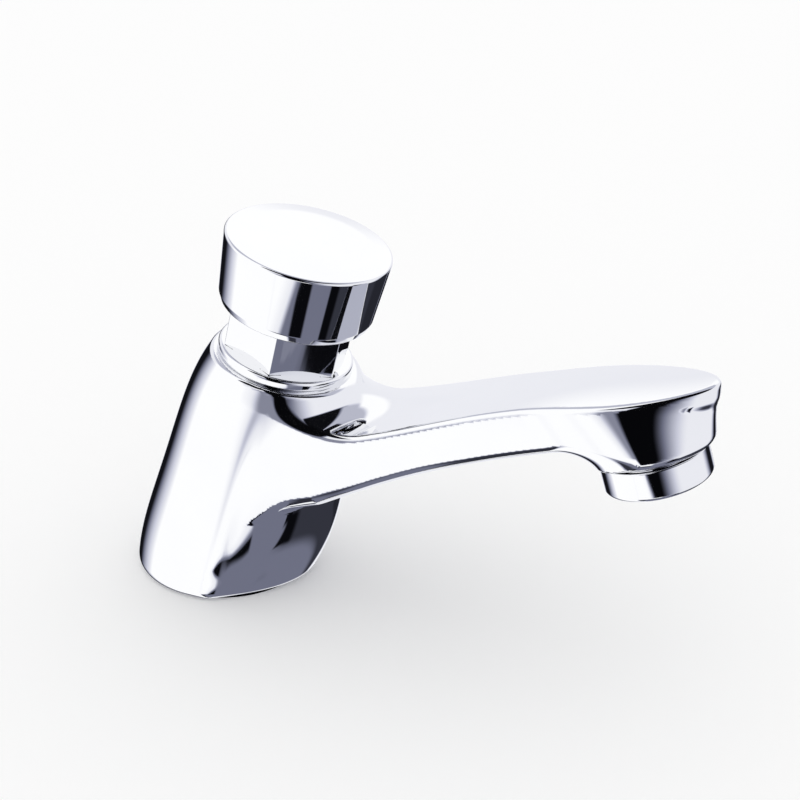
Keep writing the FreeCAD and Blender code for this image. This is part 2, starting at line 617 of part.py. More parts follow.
def make_bonnet():
    """The bonnet nut: thread with its O-ring groove, flange and hexagon, bored for seal, bush and spring."""
    body = new_body("bonnet_nut")
    groove_half = "(bonnet_ring_wire + fit_gap)"
    groove_r = "bonnet_thread_r - 2 * bonnet_ring_wire - fit_gap"
    flange_top = "bonnet_seat + flange_high"
    turn_outline(body, "thread_and_flange", [
        ("0", "bonnet_low"), ("bonnet_thread_r", "bonnet_low"),
        ("bonnet_thread_r", f"bonnet_ring_level - {groove_half}"), (groove_r, f"bonnet_ring_level - {groove_half}"),
        (groove_r, f"bonnet_ring_level + {groove_half}"), ("bonnet_thread_r", f"bonnet_ring_level + {groove_half}"),
        ("bonnet_thread_r", "bonnet_seat"), ("flange_r - flange_edge", "bonnet_seat"),
        ("flange_r", "bonnet_seat + flange_edge"), ("flange_r", f"{flange_top} - flange_edge"),
        ("flange_r - flange_edge", flange_top), ("0", flange_top)])
    sketch = new_sketch(body, "bonnet_hexagon", "XY_Plane", out=flange_top)
    draw_outline(sketch, hexagon("hex_across", "hex_turn"))
    doc.recompute()
    pad_up(body, "hexagon_block", sketch, f"hex_top - ({flange_top})")
    corner = "hex_across / sqrt(3)"
    turn_outline(body, "hexagon_bevel", [
        (f"{corner} - hex_edge * 2", "hex_top"), (f"{corner} + hex_edge", "hex_top"),
        (f"{corner} + hex_edge", "hex_top - hex_edge * 1.5")], cut=True)
    turn_outline(body, "bonnet_bores", [
        ("0", "bonnet_low - 1"), ("rod_seal_r", "bonnet_low - 1"), ("rod_seal_r", "bush_low"),
        ("bush_r", "bush_low"), ("bush_r", "spring_floor"), ("spring_bore_r", "spring_floor"),
        ("spring_bore_r", "hex_top + 1"), ("0", "hex_top + 1")], cut=True)
    stand(body, "axis_foot", "0", "lean")
    o_ring("bonnet_o_ring", "bonnet_thread_r - bonnet_ring_wire", "bonnet_ring_wire", "bonnet_ring_level")
    flange_end = "spring_floor + bush_flange_high"
    turned_part("rod_guide_bush", [
        ("rod_r + run_gap", "bush_low"), ("bush_r - fit_gap", "bush_low"), ("bush_r - fit_gap", "spring_floor"),
        ("bush_flange_r", "spring_floor"), ("bush_flange_r", flange_end), ("rod_r + run_gap", flange_end)])
    turned_part("rod_seal", tube("rod_r + run_gap", "rod_seal_r - fit_gap", "bonnet_low + fit_gap",
                                 "bush_low - fit_gap"))


def make_seat_and_sleeve():
    """The valve seat ring with its O-ring, and the sleeve with four ports that the piston slides in."""
    outside = "chamber_r - fit_gap"
    seat_top = "seat_level + seat_high"
    ring_level = "seat_level + seat_high / 2"
    groove_half = "(seat_wire + fit_gap)"
    groove_r = f"{outside} - 2 * seat_wire - fit_gap"
    turned_part("seat_ring", [
        ("seat_hole_r", "seat_level"), (outside, "seat_level"), (outside, f"{ring_level} - {groove_half}"),
        (groove_r, f"{ring_level} - {groove_half}"), (groove_r, f"{ring_level} + {groove_half}"),
        (outside, f"{ring_level} + {groove_half}"), (outside, seat_top), ("seat_hole_r", seat_top)])
    o_ring("seat_o_ring", f"{outside} - seat_wire", "seat_wire", ring_level)
    sleeve = turned_part("cartridge_sleeve", tube("sleeve_bore_r", outside, seat_top, "bonnet_low"))
    for role in ("XZ_Plane", "YZ_Plane"):
        ports = new_sketch(sleeve, "ports_" + role[:2], role)
        draw_outline(ports, [("-port_half", "port_low"), ("port_half", "port_low"),
                             ("port_half", "port_high"), ("-port_half", "port_high")])
        doc.recompute()
        cut_through(sleeve, "port_cut_" + role[:2], ports)


def make_push_rod():
    """The push rod: a thick upper part, a shoulder on the piston, the circlip's groove and a thin tail."""
    turned_part("push_rod", [
        ("0", "rod_low"), ("tail_r - rod_edge", "rod_low"), ("tail_r", "rod_low + rod_edge"),
        ("tail_r", "seat_level"), ("stem_r", "seat_level"), ("stem_r", f"{CLIP_LOW} - fit_gap"),
        ("clip_groove_r", f"{CLIP_LOW} - fit_gap"), ("clip_groove_r", PISTON_LOW), ("stem_r", PISTON_LOW),
        ("stem_r", "piston_top"), ("rod_r", "piston_top"), ("rod_r", "rod_top - rod_edge"),
        ("rod_r - rod_edge", "rod_top"), ("0", "rod_top")])


def make_piston():
    """The piston with its lip seal and metering hole, and the circlip that holds it on the stem."""
    outside = "sleeve_bore_r - 0.1"
    lip_top = "lip_low + lip_high"
    piston = turned_part("piston", [
        ("stem_r + fit_gap", PISTON_LOW), (outside, PISTON_LOW), (outside, "lip_low"),
        (f"{outside} - lip_deep", "lip_low"), (f"{outside} - lip_deep", lip_top), (outside, lip_top),
        (outside, "piston_top"), ("stem_r + fit_gap", "piston_top")])
    hole = new_sketch(piston, "metering_hole", "XY_Plane")
    draw_circle(hole, "metering_r", "metering_x")
    doc.recompute()
    cut_through(piston, "metering_bore", hole)
    turned_part("piston_lip_seal", tube(f"{outside} - lip_deep + fit_gap", "sleeve_bore_r - fit_gap",
                                        "lip_low + fit_gap", f"{lip_top} - fit_gap"))
    clip = turned_part("piston_circlip", tube("clip_groove_r + run_gap", "clip_r", CLIP_LOW, PISTON_LOW))
    mouth = new_sketch(clip, "clip_mouth_slot", "XY_Plane")
    draw_outline(mouth, [("0", "-clip_mouth / 2"), ("clip_r + 1", "-clip_mouth / 2"),
                         ("clip_r + 1", "clip_mouth / 2"), ("0", "clip_mouth / 2")])
    doc.recompute()
    cut_through(clip, "clip_mouth_cut", mouth)


def make_valve():
    """The rubber valve disc under the seat, its backing washer and the nut that clamps both."""
    disc_low = "seat_level - disc_high"
    backing_low = f"{disc_low} - backing_high"
    turned_part("valve_disc", tube("tail_r + fit_gap", "disc_r", disc_low, "seat_level"))
    turned_part("valve_backing_washer", tube("tail_r + fit_gap", "backing_r", backing_low, disc_low))
    hex_nut("valve_nut", "valve_nut_across", f"{backing_low} - valve_nut_high", backing_low,
            "tail_r + thread_gap")


def arc_from(start, heading, end):
    """The arc that leaves start along heading and ends at end."""
    chord = end - start
    half = heading.getAngle(chord) / 2
    along = chord * (heading.dot(chord) / chord.dot(chord))
    bulge = (heading - along).normalize()
    return Part.Arc(start, (start + end) / 2 + bulge * (chord.Length / 2 * math.tan(half)), end)


def make_spring():
    """The return spring: one wire on a helix of quarter turns, each a pair of arcs that share a tangent."""
    low = number_of("spring_floor + bush_flange_high + wire_r")
    high = number_of("spring_seat_low - wire_r")
    mean_r, wire_r, turns = number_of("spring_r"), number_of("wire_r"), number_of("spring_turns")
    rise = (high - low) / (2 * math.pi * turns)

    def spot(angle):
        return Vector(mean_r * math.cos(angle), mean_r * math.sin(angle), low + rise * angle)

    def heading(angle):
        return Vector(-mean_r * math.sin(angle), mean_r * math.cos(angle), rise).normalize()

    edges = []
    quarters = round(4 * turns)
    step = 2 * math.pi * turns / quarters
    for k in range(quarters):
        start, end = spot(k * step), spot((k + 1) * step)
        leaving, arriving = heading(k * step), heading((k + 1) * step)
        across, both = end - start, leaving + arriving
        bend = 2 * (leaving.dot(arriving) - 1)
        reach = (across.dot(both) - math.sqrt(across.dot(both) ** 2 - bend * across.dot(across))) / bend
        middle = (start + end) / 2 + (leaving - arriving) * (reach / 2)
        edges.append(arc_from(start, leaving, middle).toShape())
        edges.append(arc_from(middle, (middle - start - leaving * reach).normalize(), end).toShape())
    path = Part.Wire(edges)
    section = Part.Wire(Part.makeCircle(wire_r, spot(0), heading(0)))
    spring = doc.addObject("Part::Feature", "return_spring")
    spring.Label = "return_spring"
    spring.Shape = path.makePipeShell([section], True, False)
    stand(spring, "axis_foot", "0", "lean")
    parts.append(spring)

    samples = [spot(2 * math.pi * turns * k / 400) for k in range(401)]
    half_turn = int(200 / turns)
    gap = min((samples[i] - samples[j]).Length for i in range(401) for j in range(i + half_turn, 401))
    print("return_spring least gap", round(gap - 2 * wire_r, 2), "mm")


def make_cap():
    """The push cap, its lock nut and the washer on the spring."""
    cap_top = "cap_rim + cap_crown"
    under = "cap_rim - cap_plate"
    cap_nut_low = "spring_seat_low + spring_seat_high"
    boss_low = f"{cap_nut_low} + cap_nut_high"
    turned_part("push_cap", [
        ("0", "rod_top"), ("rod_r + thread_gap", "rod_top"), ("rod_r + thread_gap", boss_low),
        ("cap_boss_r", boss_low), ("cap_boss_r", under), ("cap_bore_r", under), ("cap_bore_r", "cap_low"),
        ("cap_low_r", "cap_low", "cap_low_edge"), ("cap_top_r", "cap_rim", "cap_top_edge"),
        ("cap_crown_x", cap_top, "cap_crown_bend"), ("0", cap_top)])
    turned_part("spring_seat_washer", tube("rod_r + run_gap", "spring_seat_r", "spring_seat_low", cap_nut_low))
    hex_nut("cap_lock_nut", "cap_nut_across", cap_nut_low, boss_low, "rod_r + thread_gap")


def ring_of_holes(body, name, count, hole_r, ring_r):
    """Round holes in a ring about a body's axis, drilled through it."""
    sketch = new_sketch(body, name + "_circles", "XY_Plane")
    for k in range(count):
        angle = f"({360 * k / count} * 1 deg)"
        draw_circle(sketch, hole_r, f"{ring_r} * cos{angle}", f"{ring_r} * sin{angle}")
    doc.recompute()
    cut_through(body, name, sketch)


def make_aerator():
    """The aerator: its ring, and inside it the mesh, the jet insert, the flow regulator and the washer."""
    place = {"x": "outlet_x", "z": "outlet_z", "lean": "-outlet_lean"}
    lip_top = "ring_lip_high - ring_high"
    inside = "aerator_bore_r - fit_gap"
    mesh_top = f"{lip_top} + mesh_high"
    insert_top = f"{mesh_top} + insert_high"
    turned_part("aerator_housing", [
        ("ring_lip_r", "-ring_high"), ("ring_r", "-ring_high", "ring_edge"), ("ring_r", "0"),
        ("aerator_thread_r", "0"), ("aerator_thread_r", "aerator_thread_high"),
        ("aerator_bore_r", "aerator_thread_high"), ("aerator_bore_r", lip_top), ("ring_lip_r", lip_top)], **place)
    mesh = turned_part("aerator_mesh", tube("0", inside, lip_top, mesh_top), **place)
    grid = new_sketch(mesh, "mesh_holes", "XY_Plane")
    holes_on_grid(grid, "mesh_hole_r", "mesh_step", "ring_lip_r - mesh_rim")
    doc.recompute()
    cut_through(mesh, "mesh_cut", grid)
    insert = turned_part("aerator_insert", [
        ("0", mesh_top), (inside, mesh_top), (inside, insert_top), (f"{inside} - insert_wall", insert_top),
        (f"{inside} - insert_wall", f"{mesh_top} + insert_floor"), ("0", f"{mesh_top} + insert_floor")], **place)
    ring_of_holes(insert, "jet_holes", 12, "insert_hole_r", "insert_hole_ring")
    regulator = turned_part("flow_regulator", tube("0", inside, insert_top, f"{insert_top} + regulator_high"),
                            **place)
    ring_of_holes(regulator, "metering_holes", 6, "regulator_hole_r", "regulator_hole_ring")
    turned_part("aerator_washer", tube("outlet_room_r", "aerator_thread_r - fit_gap", "aerator_thread_high",
                                       "aerator_thread_high + outlet_washer_high"), **place)


def make_inlet():
    """The threaded shank with its O-ring and strainer, and the gasket under the base."""
    upright = {"x": "0", "lean": "0"}
    tail_top = "shank_low + tail_long"
    turned_part("inlet_shank", [
        ("inlet_r", "shank_low"), ("shank_r - shank_edge", "shank_low"), ("shank_r", "shank_low + shank_edge"),
        ("shank_r", tail_top), ("tail_groove_r", tail_top), ("tail_groove_r", f"{tail_top} + tail_groove_high"),
        ("shank_r", f"{tail_top} + tail_groove_high"), ("shank_r", "shank_top - shank_edge"),
        ("shank_r - shank_edge", "shank_top"), ("inlet_r", "shank_top")], **upright)
    o_ring("shank_o_ring", "shank_r + shank_ring_wire + fit_gap", "shank_ring_wire", "shank_ring_room / 2",
           **upright)
    turned_part("base_gasket", tube("gasket_in_r + fit_gap", "gasket_out_r - fit_gap", "0", "gasket_high"),
                **upright)
    strainer = turned_part("inlet_strainer", [
        ("0", "shank_low"), ("inlet_r - fit_gap", "shank_low"), ("inlet_r - fit_gap", "shank_low + strainer_high"),
        ("inlet_r - fit_gap - strainer_wall", "shank_low + strainer_high"),
        ("inlet_r - fit_gap - strainer_wall", "shank_low + strainer_wall"),
        ("0", "shank_low + strainer_wall")], **upright)
    grid = new_sketch(strainer, "strainer_holes", "XY_Plane")
    holes_on_grid(grid, "strainer_hole_r", "strainer_step", "inlet_r - strainer_wall - strainer_rim")
    doc.recompute()
    cut_through(strainer, "strainer_cut", grid)


def make_fixing_kit():
    """What clamps the tap to the basin from below: a rubber washer, a metal washer and a flanged nut."""
    upright = {"x": "0", "lean": "0"}
    hole_r = "shank_r + washer_gap"
    rubber_low = "-deck_gap - rubber_high"
    plate_low = f"{rubber_low} - plate_high"
    flange_low = f"{plate_low} - lock_flange_high"
    turned_part("deck_rubber_washer", tube(hole_r, "rubber_r", rubber_low, "-deck_gap"), **upright)
    turned_part("deck_metal_washer", tube(hole_r, "plate_r", plate_low, rubber_low), **upright)
    nut = hex_nut("lock_nut", "lock_across", f"{plate_low} - lock_high", flange_low, "shank_r + thread_gap",
                  **upright)
    turn_outline(nut, "lock_flange", tube("shank_r + thread_gap", "lock_flange_r", flange_low, plate_low))


def write_parts():
    """Test every object and part, then write a STEP file for each part."""
    for item in doc.Objects:
        if "Invalid" in item.State or "Error" in item.State:
            raise RuntimeError(f"{item.Name} is {item.State}")
    for part in parts:
        if part.Shape.isNull() or not part.Shape.isValid():
            raise RuntimeError(f"{part.Label} has no valid shape")
    os.makedirs("parts", exist_ok=True)
    for part in parts:
        part.Shape.exportStep(f"parts/{part.Label}.step")
    print(len(parts), "parts written")


# Heights and radii that several pieces share.
PISTON_LOW = "(piston_top - piston_high)"
CLIP_LOW = "(piston_top - piston_high - clip_high)"
SHANK_RECESS = "shank_r + 2 * shank_ring_wire + 3 * fit_gap"

make_tap_body()
make_bonnet()
make_seat_and_sleeve()
make_push_rod()
make_piston()
make_valve()
make_spring()
make_cap()
make_aerator()
make_inlet()
make_fixing_kit()
doc.recompute()
write_parts()
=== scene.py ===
import json
import math

import bmesh
import bpy
import numpy as np
from mathutils import Matrix, Vector

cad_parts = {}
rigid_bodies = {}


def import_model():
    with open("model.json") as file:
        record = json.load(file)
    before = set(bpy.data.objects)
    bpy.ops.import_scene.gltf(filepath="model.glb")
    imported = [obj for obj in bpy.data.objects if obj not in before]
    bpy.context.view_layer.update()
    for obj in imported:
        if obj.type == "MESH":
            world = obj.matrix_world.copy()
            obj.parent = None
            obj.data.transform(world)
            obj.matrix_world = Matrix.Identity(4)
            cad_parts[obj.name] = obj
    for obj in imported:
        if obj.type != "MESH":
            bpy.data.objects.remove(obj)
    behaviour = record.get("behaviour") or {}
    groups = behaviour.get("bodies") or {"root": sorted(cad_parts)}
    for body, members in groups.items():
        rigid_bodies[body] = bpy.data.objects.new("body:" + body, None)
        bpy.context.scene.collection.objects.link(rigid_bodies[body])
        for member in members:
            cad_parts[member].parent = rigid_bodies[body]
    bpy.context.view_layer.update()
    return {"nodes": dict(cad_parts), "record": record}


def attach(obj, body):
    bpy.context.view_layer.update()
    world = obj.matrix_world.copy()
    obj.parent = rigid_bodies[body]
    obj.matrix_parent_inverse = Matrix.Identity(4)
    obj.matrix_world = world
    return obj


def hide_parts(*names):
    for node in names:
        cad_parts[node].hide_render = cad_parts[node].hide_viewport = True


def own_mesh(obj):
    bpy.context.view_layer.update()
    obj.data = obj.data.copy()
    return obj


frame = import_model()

# Cast body: one brass casting with the column and the spout, polished and chrome-plated all over.
# Its shape is a field of distances in millimetres, negative inside, from smooth solids that are joined
# and cut with round edges. The skin is where the field is zero.

LEAN = math.radians(13.0)             # lean of the cap's axis, towards the spout
AXIS_FOOT = 4.3                       # X where that axis meets the deck
SEAT, SEAT_EDGE = 65.0, 0.9           # height of the neck's face along the axis, and its edge's rounding
OUTLET_LEAN = math.radians(18.0)      # lean of the outlet's axis, away from the spout's tip
OUTLET_X, OUTLET_Z = 115.3, 56.6      # centre of the outlet on the collar's face
COLLAR_R, COLLAR_EDGE = 14.0, 0.8     # radius of the outlet's collar, and its edge's rounding
COLLAR_HOLLOW = 9.0                   # hollow where the collar grows out of the spout's underside
HEAD_TOP = 74.0                       # height of the head's upper edge
BASE_EDGE = 2.4                       # rounding where the column meets the deck
FACE_BOW, BOW_GAIN = 0.032, 0.0045    # bow of the column's front at the deck, and what it gains above
BOW_TOP = 10.0                        # height at which the whole gain is reached
NECK_LOW, NECK_HIGH = 30.0, 42.0      # heights between which the bowed front turns into the round neck
NECK_WIDER = 1.04                     # the neck's width, before the plan cuts it, over the column's
CROWN, CROWN_HALF = 0.5, 14.0         # rise of the spout's top along its middle, gone at this half width
UNDER_LIFT = 0.9                      # metal that the casting has more below its underside's line
SLAB_START = 12.0                     # X inside the column where the spout starts
SPOUT_HALF = 12.5                     # half of the spout's least width
TAPER, TAPER_END, TAPER_SOFT = 0.1, 76.0, 6.0   # narrowing of each flank, and where it fades out
FLARE, FLARE_X, FLARE_FADE = 2.2, 20.0, 10.0    # widening of each flank into the column
FLANK_LEAN, FLANK_LEVEL = 0.05, 40.0  # outward lean of the flank, about this height
LEAN_GONE, LEAN_FULL = 70.0, 20.0     # X from which that lean starts, and where it is full
FLANK_SOFT, FLANK_START = 0.8, 8.0    # softness of the change from column to flank, and its length
HEAD_X, HEAD_SHIFT = 116.0, 16.0      # middle of the head at the outlet, and how far back its top's lies
HEAD_LONG, HEAD_GAIN = 14.0, 15.6     # the head's reach at the outlet, and what its top has more
HEAD_HALF, HEAD_SLIM = 13.9, 0.4      # the head's half width at the outlet, and what its top has less
HEAD_RUN_IN = 22.0                    # length over which the flank runs into the head
UNDERCUT = 0.6                        # depth of the hollow below the lip at the spout's tip
LIP_LOW = 70.5                        # height of the lip's lower edge, where the hollow is full
HOLLOW_FOOT, HOLLOW_FULL = 60.0, 69.5           # heights between which the hollow deepens
HOLLOW_START, HOLLOW_END = 116.0, 129.0         # X between which it deepens towards the tip
SADDLE_LOW, SADDLE_HIGH = 1.2, 13.0   # hollows below and above the spout where it meets the column
SADDLE_FROM, SADDLE_TO = 36.0, 46.0   # heights between which the one turns into the other
TOP_EDGE, ROOT_EDGE = 1.3, 0.9        # roundings of the spout's upper edge, and of the column's edges
ROOT_FROM, ROOT_TO = 20.0, 12.0       # X between which the one turns into the other
EDGE_CHANGE = 3.0                     # height over the spout's middle line where its upper rounding starts
LOW_EDGE = 1.0                        # rounding of the lower edge where the spout starts
LOW_EDGE_STEPS = ((17.0, 28.0, 3.2), (30.0, 46.0, -1.2), (60.0, 76.0, -0.4))    # from X, to X, gain


def curve_through(points, degree):
    """The polynomial of a degree that passes nearest to a few measured points, by least squares."""
    places, values = zip(*points)
    return np.poly1d(np.polyfit(places, values, degree))


back_line = curve_through([(0, -24.4), (6.7, -23.4), (16.7, -20.7), (28.5, -16.5), (43, -11.3),
                           (55.7, -6.3), (61.1, -3.9), (67.5, 0.6)], 4)
front_line = curve_through([(0, 24.6), (9, 29.1), (18.5, 32.3), (32, 34.7), (50, 36.2), (59.1, 37.2)], 4)
half_width = curve_through([(0, 24.4), (14, 23.6), (32, 22.1), (50, 20.3), (63.3, 18.75)], 3)
top_line = curve_through([(14, 48.2), (26, 49.3), (34, 50.6), (40, 51.6), (46, 53.2), (52, 55.0), (58, 57.0),
                          (64, 59.3), (70, 61.5), (76, 63.6), (82, 65.6), (88, 67.4), (94, 68.9), (100, 70.3),
                          (112, 73.1), (124, 75.8), (136, 77.8)], 6)
under_line = curve_through([(20, 21.0), (30, 28.5), (42.4, 35.9), (50.2, 39.8), (59.4, 44.3), (68.3, 48.1),
                            (78.7, 52.0), (87.6, 55.3), (95, 57.8), (104, 60.4), (116, 64.0), (130, 68.5)], 4)


def ramp(low, high, value):
    """A soft step from 0 at low to 1 at high: three times the share squared, less twice it cubed."""
    share = np.clip((value - low) / (high - low), 0.0, 1.0)
    return share * share * (3.0 - 2.0 * share)


def joined(first, second, radius):
    """Two solids made one, with a hollow of a radius where they meet: the lesser field, but within the
    radius of both skins the radius less the distance from the hollow's middle."""
    inner = np.hypot(np.maximum(radius - first, 0.0), np.maximum(radius - second, 0.0))
    return np.maximum(radius, np.minimum(first, second)) - inner


def common(first, second, radius):
    """What two solids share, with edges rounded to a radius: the greater field, but within the radius of
    both skins the distance from the rounding's middle less the radius."""
    outer = np.hypot(np.maximum(radius + first, 0.0), np.maximum(radius + second, 0.0))
    return np.minimum(-radius, np.maximum(first, second)) + outer


def oval_field(x, y, centre, long, wide):
    """Distance outside an oval about the line y = 0: its reach, which is 1 on the oval, less 1, and
    divided by how fast the reach grows there."""
    reach = np.hypot((x - centre) / long, y / wide)
    slope = np.hypot((x - centre) / long ** 2, y / wide ** 2)
    return reach * (reach - 1.0) / np.maximum(slope, 1e-6)


def belly_field(x, y, z):
    """The column's front: a face bowed by the square of y, which leans out over the deck, then the round
    neck, cut square to the cap's axis at its seat."""
    front, back, wide = front_line(z), back_line(z), NECK_WIDER * half_width(z)
    bow = FACE_BOW + BOW_GAIN * ramp(0.0, BOW_TOP, z)
    face = (x - front + bow * y ** 2) / np.hypot(1.0, 2.0 * bow * y)
    centre, long = (front + back) / 2, (front - back) / 2
    neck = np.where(x < centre, np.abs(y) - wide, oval_field(x, y, centre, long, wide))
    share = ramp(NECK_LOW, NECK_HIGH, z)
    along = (x - AXIS_FOOT) * math.sin(LEAN) + z * math.cos(LEAN)
    return common((face * (1.0 - share) + neck * share) * math.cos(LEAN), along - SEAT, SEAT_EDGE)


def slab_field(x, y, z):
    """The spout from the side: what lies under its top line and over its underside's, as wide as one
    likes, with the outlet's collar under its head. Heights over a line are divided by its steepness."""
    crown = CROWN * (1.0 - (y / CROWN_HALF) ** 2)
    over = (z - top_line(x) - crown) / np.hypot(1.0, top_line.deriv()(x))
    under = (under_line(x) - z) / np.hypot(1.0, under_line.deriv()(x))
    aside = (x - OUTLET_X) * math.cos(OUTLET_LEAN) + (z - OUTLET_Z) * math.sin(OUTLET_LEAN)
    height = (z - OUTLET_Z) * math.cos(OUTLET_LEAN) - (x - OUTLET_X) * math.sin(OUTLET_LEAN)
    wall = np.minimum(np.hypot(aside, y) - COLLAR_R, -aside)
    underside = common(joined(under - UNDER_LIFT, wall, COLLAR_HOLLOW), -height, COLLAR_EDGE)
    return np.maximum(np.maximum(over, underside), SLAB_START - x)


def plan_field(x, y, z):
    """From above: the column's round back, one fair flank from its widest place to the spout, and the
    head, which is round at the outlet and longer and slimmer at its upper edge. Column and flank meet in
    a hyperbola, as the lesser of two half widths does when its corner is softened."""
    back, wide = back_line(z), half_width(z)
    widest = (front_line(z) + back) / 2
    flank = SPOUT_HALF + TAPER * TAPER_SOFT * np.log1p(np.exp((TAPER_END - x) / TAPER_SOFT))
    flank = flank + FLARE * np.exp((FLARE_X - x) / FLARE_FADE)
    flank = flank + FLANK_LEAN * (z - FLANK_LEVEL) * ramp(LEAN_GONE, LEAN_FULL, x)
    softness = FLANK_SOFT * ramp(0.0, FLANK_START, x - widest)
    half = (wide + flank) / 2 - np.hypot((wide - flank) / 2, softness)
    share = np.clip((z - OUTLET_Z) / (HEAD_TOP - OUTLET_Z), -0.5, 1.2)
    centre, long = HEAD_X - HEAD_SHIFT * share, HEAD_LONG + HEAD_GAIN * share
    slim = HEAD_HALF - HEAD_SLIM * share
    half = half + (slim - half) * ramp(centre - HEAD_RUN_IN, centre, x)
    undercut = UNDERCUT * ramp(HEAD_TOP, LIP_LOW, z) * ramp(HOLLOW_FOOT, HOLLOW_FULL, z)
    head = oval_field(x, y, centre, long, slim) + undercut * ramp(HOLLOW_START, HOLLOW_END, x)
    sides = np.where(x < centre, np.abs(y) - half, head)
    return np.where(x < widest, oval_field(x, y, widest, widest - back, wide), sides)


def body_field(x, y, z):
    """Belly and spout joined by the saddle, cut to their plan and to the deck, with soft edges."""
    saddle = SADDLE_LOW + (SADDLE_HIGH - SADDLE_LOW) * ramp(SADDLE_FROM, SADDLE_TO, z)
    both = joined(belly_field(x, y, z), slab_field(x, y, z), saddle)
    middle = (top_line(x) + under_line(x)) / 2
    upper = ramp(-EDGE_CHANGE, EDGE_CHANGE, z - middle)
    low_edge = LOW_EDGE + sum(gain * ramp(start, stop, x) for start, stop, gain in LOW_EDGE_STEPS)
    edge = low_edge * (1.0 - upper) + TOP_EDGE * upper
    edge = edge + (ROOT_EDGE - edge) * ramp(ROOT_FROM, ROOT_TO, x)
    return common(common(both, plan_field(x, y, z), edge), -z, BASE_EDGE)


def slope_of(field, spots, reach=0.02):
    """Which way a field rises fastest at each spot: its difference from one side of the spot to the
    other, along each axis, over the distance between them."""
    rises = []
    for axis in range(3):
        shift = np.zeros(3)
        shift[axis] = reach
        rises.append(field(*(spots + shift).T) - field(*(spots - shift).T))
    return np.stack(rises, axis=1) / (2 * reach)


def skin_of(field, lows, highs, step, pulls=6, least_slope=0.2):
    """The surface where a field is zero, as quads: one corner in each cell of a grid that the surface
    crosses, pulled onto the surface along the field's slope, and one quad round each crossed grid line."""
    axes = [np.arange(low, high + step, step) for low, high in zip(lows, highs)]
    grid = np.meshgrid(*axes, indexing="ij")
    values = field(*grid)
    inside = values < 0
    shape = np.array(inside.shape)
    ends = np.array([(east, north, up) for east in (0, 1) for north in (0, 1) for up in (0, 1)])
    cell_counts = sum(inside[east:shape[0] - 1 + east, north:shape[1] - 1 + north, up:shape[2] - 1 + up]
                      .astype(np.int8) for east, north, up in ends)
    cells = np.argwhere((cell_counts > 0) & (cell_counts < 8))
    number = np.full(shape - 1, -1)
    number[tuple(cells.T)] = np.arange(len(cells))
    corner_values = np.stack([values[tuple((cells + end).T)] for end in ends], axis=1)
    total, count = np.zeros((len(cells), 3)), np.zeros(len(cells))
    for one in range(8):
        for other in range(one + 1, 8):
            if np.abs(ends[one] - ends[other]).sum() == 1:
                first, second = corner_values[:, one], corner_values[:, other]
                crossed = (first < 0) != (second < 0)
                share = np.where(crossed, first / np.where(crossed, first - second, 1.0), 0.0)
                spot = ends[one] + share[:, None] * (ends[other] - ends[one])
                total += spot * crossed[:, None]
                count += crossed
    spots = np.array(lows) + (cells + total / count[:, None]) * step
    for _ in range(pulls):
        slope = slope_of(field, spots)
        steepness = np.maximum((slope ** 2).sum(axis=1), least_slope ** 2)
        move = -(field(*spots.T) / steepness)[:, None] * slope
        size = np.linalg.norm(move, axis=1, keepdims=True)
        spots = spots + move * np.minimum(1.0, step / np.maximum(size, 1e-9))
    quads = []
    for axis in range(3):
        low_part = [slice(None)] * 3
        high_part = [slice(None)] * 3
        low_part[axis], high_part[axis] = slice(0, -1), slice(1, None)
        starts, stops = inside[tuple(low_part)], inside[tuple(high_part)]
        one, other = (axis + 1) % 3, (axis + 2) % 3
        lines = np.argwhere(starts != stops)
        lines = lines[(lines[:, one] > 0) & (lines[:, other] > 0)]
        lines = lines[(lines[:, one] < shape[one] - 1) & (lines[:, other] < shape[other] - 1)]
        around = []
        for back_one, back_other in ((1, 1), (0, 1), (0, 0), (1, 0)):
            cell = lines.copy()
            cell[:, one] -= back_one
            cell[:, other] -= back_other
            around.append(number[tuple(cell.T)])
        ring = np.stack(around, axis=1)
        leaving = starts[tuple(lines.T)]
        quads.append(np.where(leaving[:, None], ring, ring[:, ::-1]))
    return spots, np.concatenate(quads)


MM_IN_A_METRE = 1000.0
SMOOTH_UP_TO = math.radians(30)       # slopes between faces that still look smooth


def new_piece(name, spots, faces, normals=None):
    """A mesh piece from spots in millimetres, at the origin, smooth by its normals where they are given
    and else up to a slope."""
    mesh = bpy.data.meshes.new(name)
    mesh.from_pydata((np.asarray(spots) / MM_IN_A_METRE).tolist(), [], [list(face) for face in faces])
    mesh.validate()
    mesh.shade_smooth()
    if normals is None:
        mesh.set_sharp_from_angle(angle=SMOOTH_UP_TO)
    else:
        mesh.normals_split_custom_set_from_vertices(normals.tolist())
    piece = bpy.data.objects.new(name, mesh)
    bpy.context.collection.objects.link(piece)
    return piece


GRID_LOW, GRID_HIGH, CELL = (-25.6, -25.6, -0.8), (131.0, 25.6, 78.0), 0.6
ON_DECK = 1e-3                        # a quad that lies lower all over is left to the underside's piece
body_spots, body_quads = skin_of(body_field, GRID_LOW, GRID_HIGH, CELL)
flat_under = (body_spots[body_quads][:, :, 2] < ON_DECK).all(axis=1)
body_slope = slope_of(body_field, body_spots)
body_normals = body_slope / np.linalg.norm(body_slope, axis=1, keepdims=True)
body = new_piece("tap_body_skin", body_spots, body_quads[~flat_under], body_normals)
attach(body, "tap")
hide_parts("tap_body")


def new_material(name):
    """An empty node material with its surface shader and its output."""
    material = bpy.data.materials.new(name)
    material.use_nodes = True
    nodes = material.node_tree.nodes
    nodes.clear()
    shader = nodes.new("ShaderNodeBsdfPrincipled")
    output = nodes.new("ShaderNodeOutputMaterial")
    material.node_tree.links.new(shader.outputs["BSDF"], output.inputs["Surface"])
    return material, shader


NOISE_DETAIL = 4.0                    # octaves of the noise in every finish


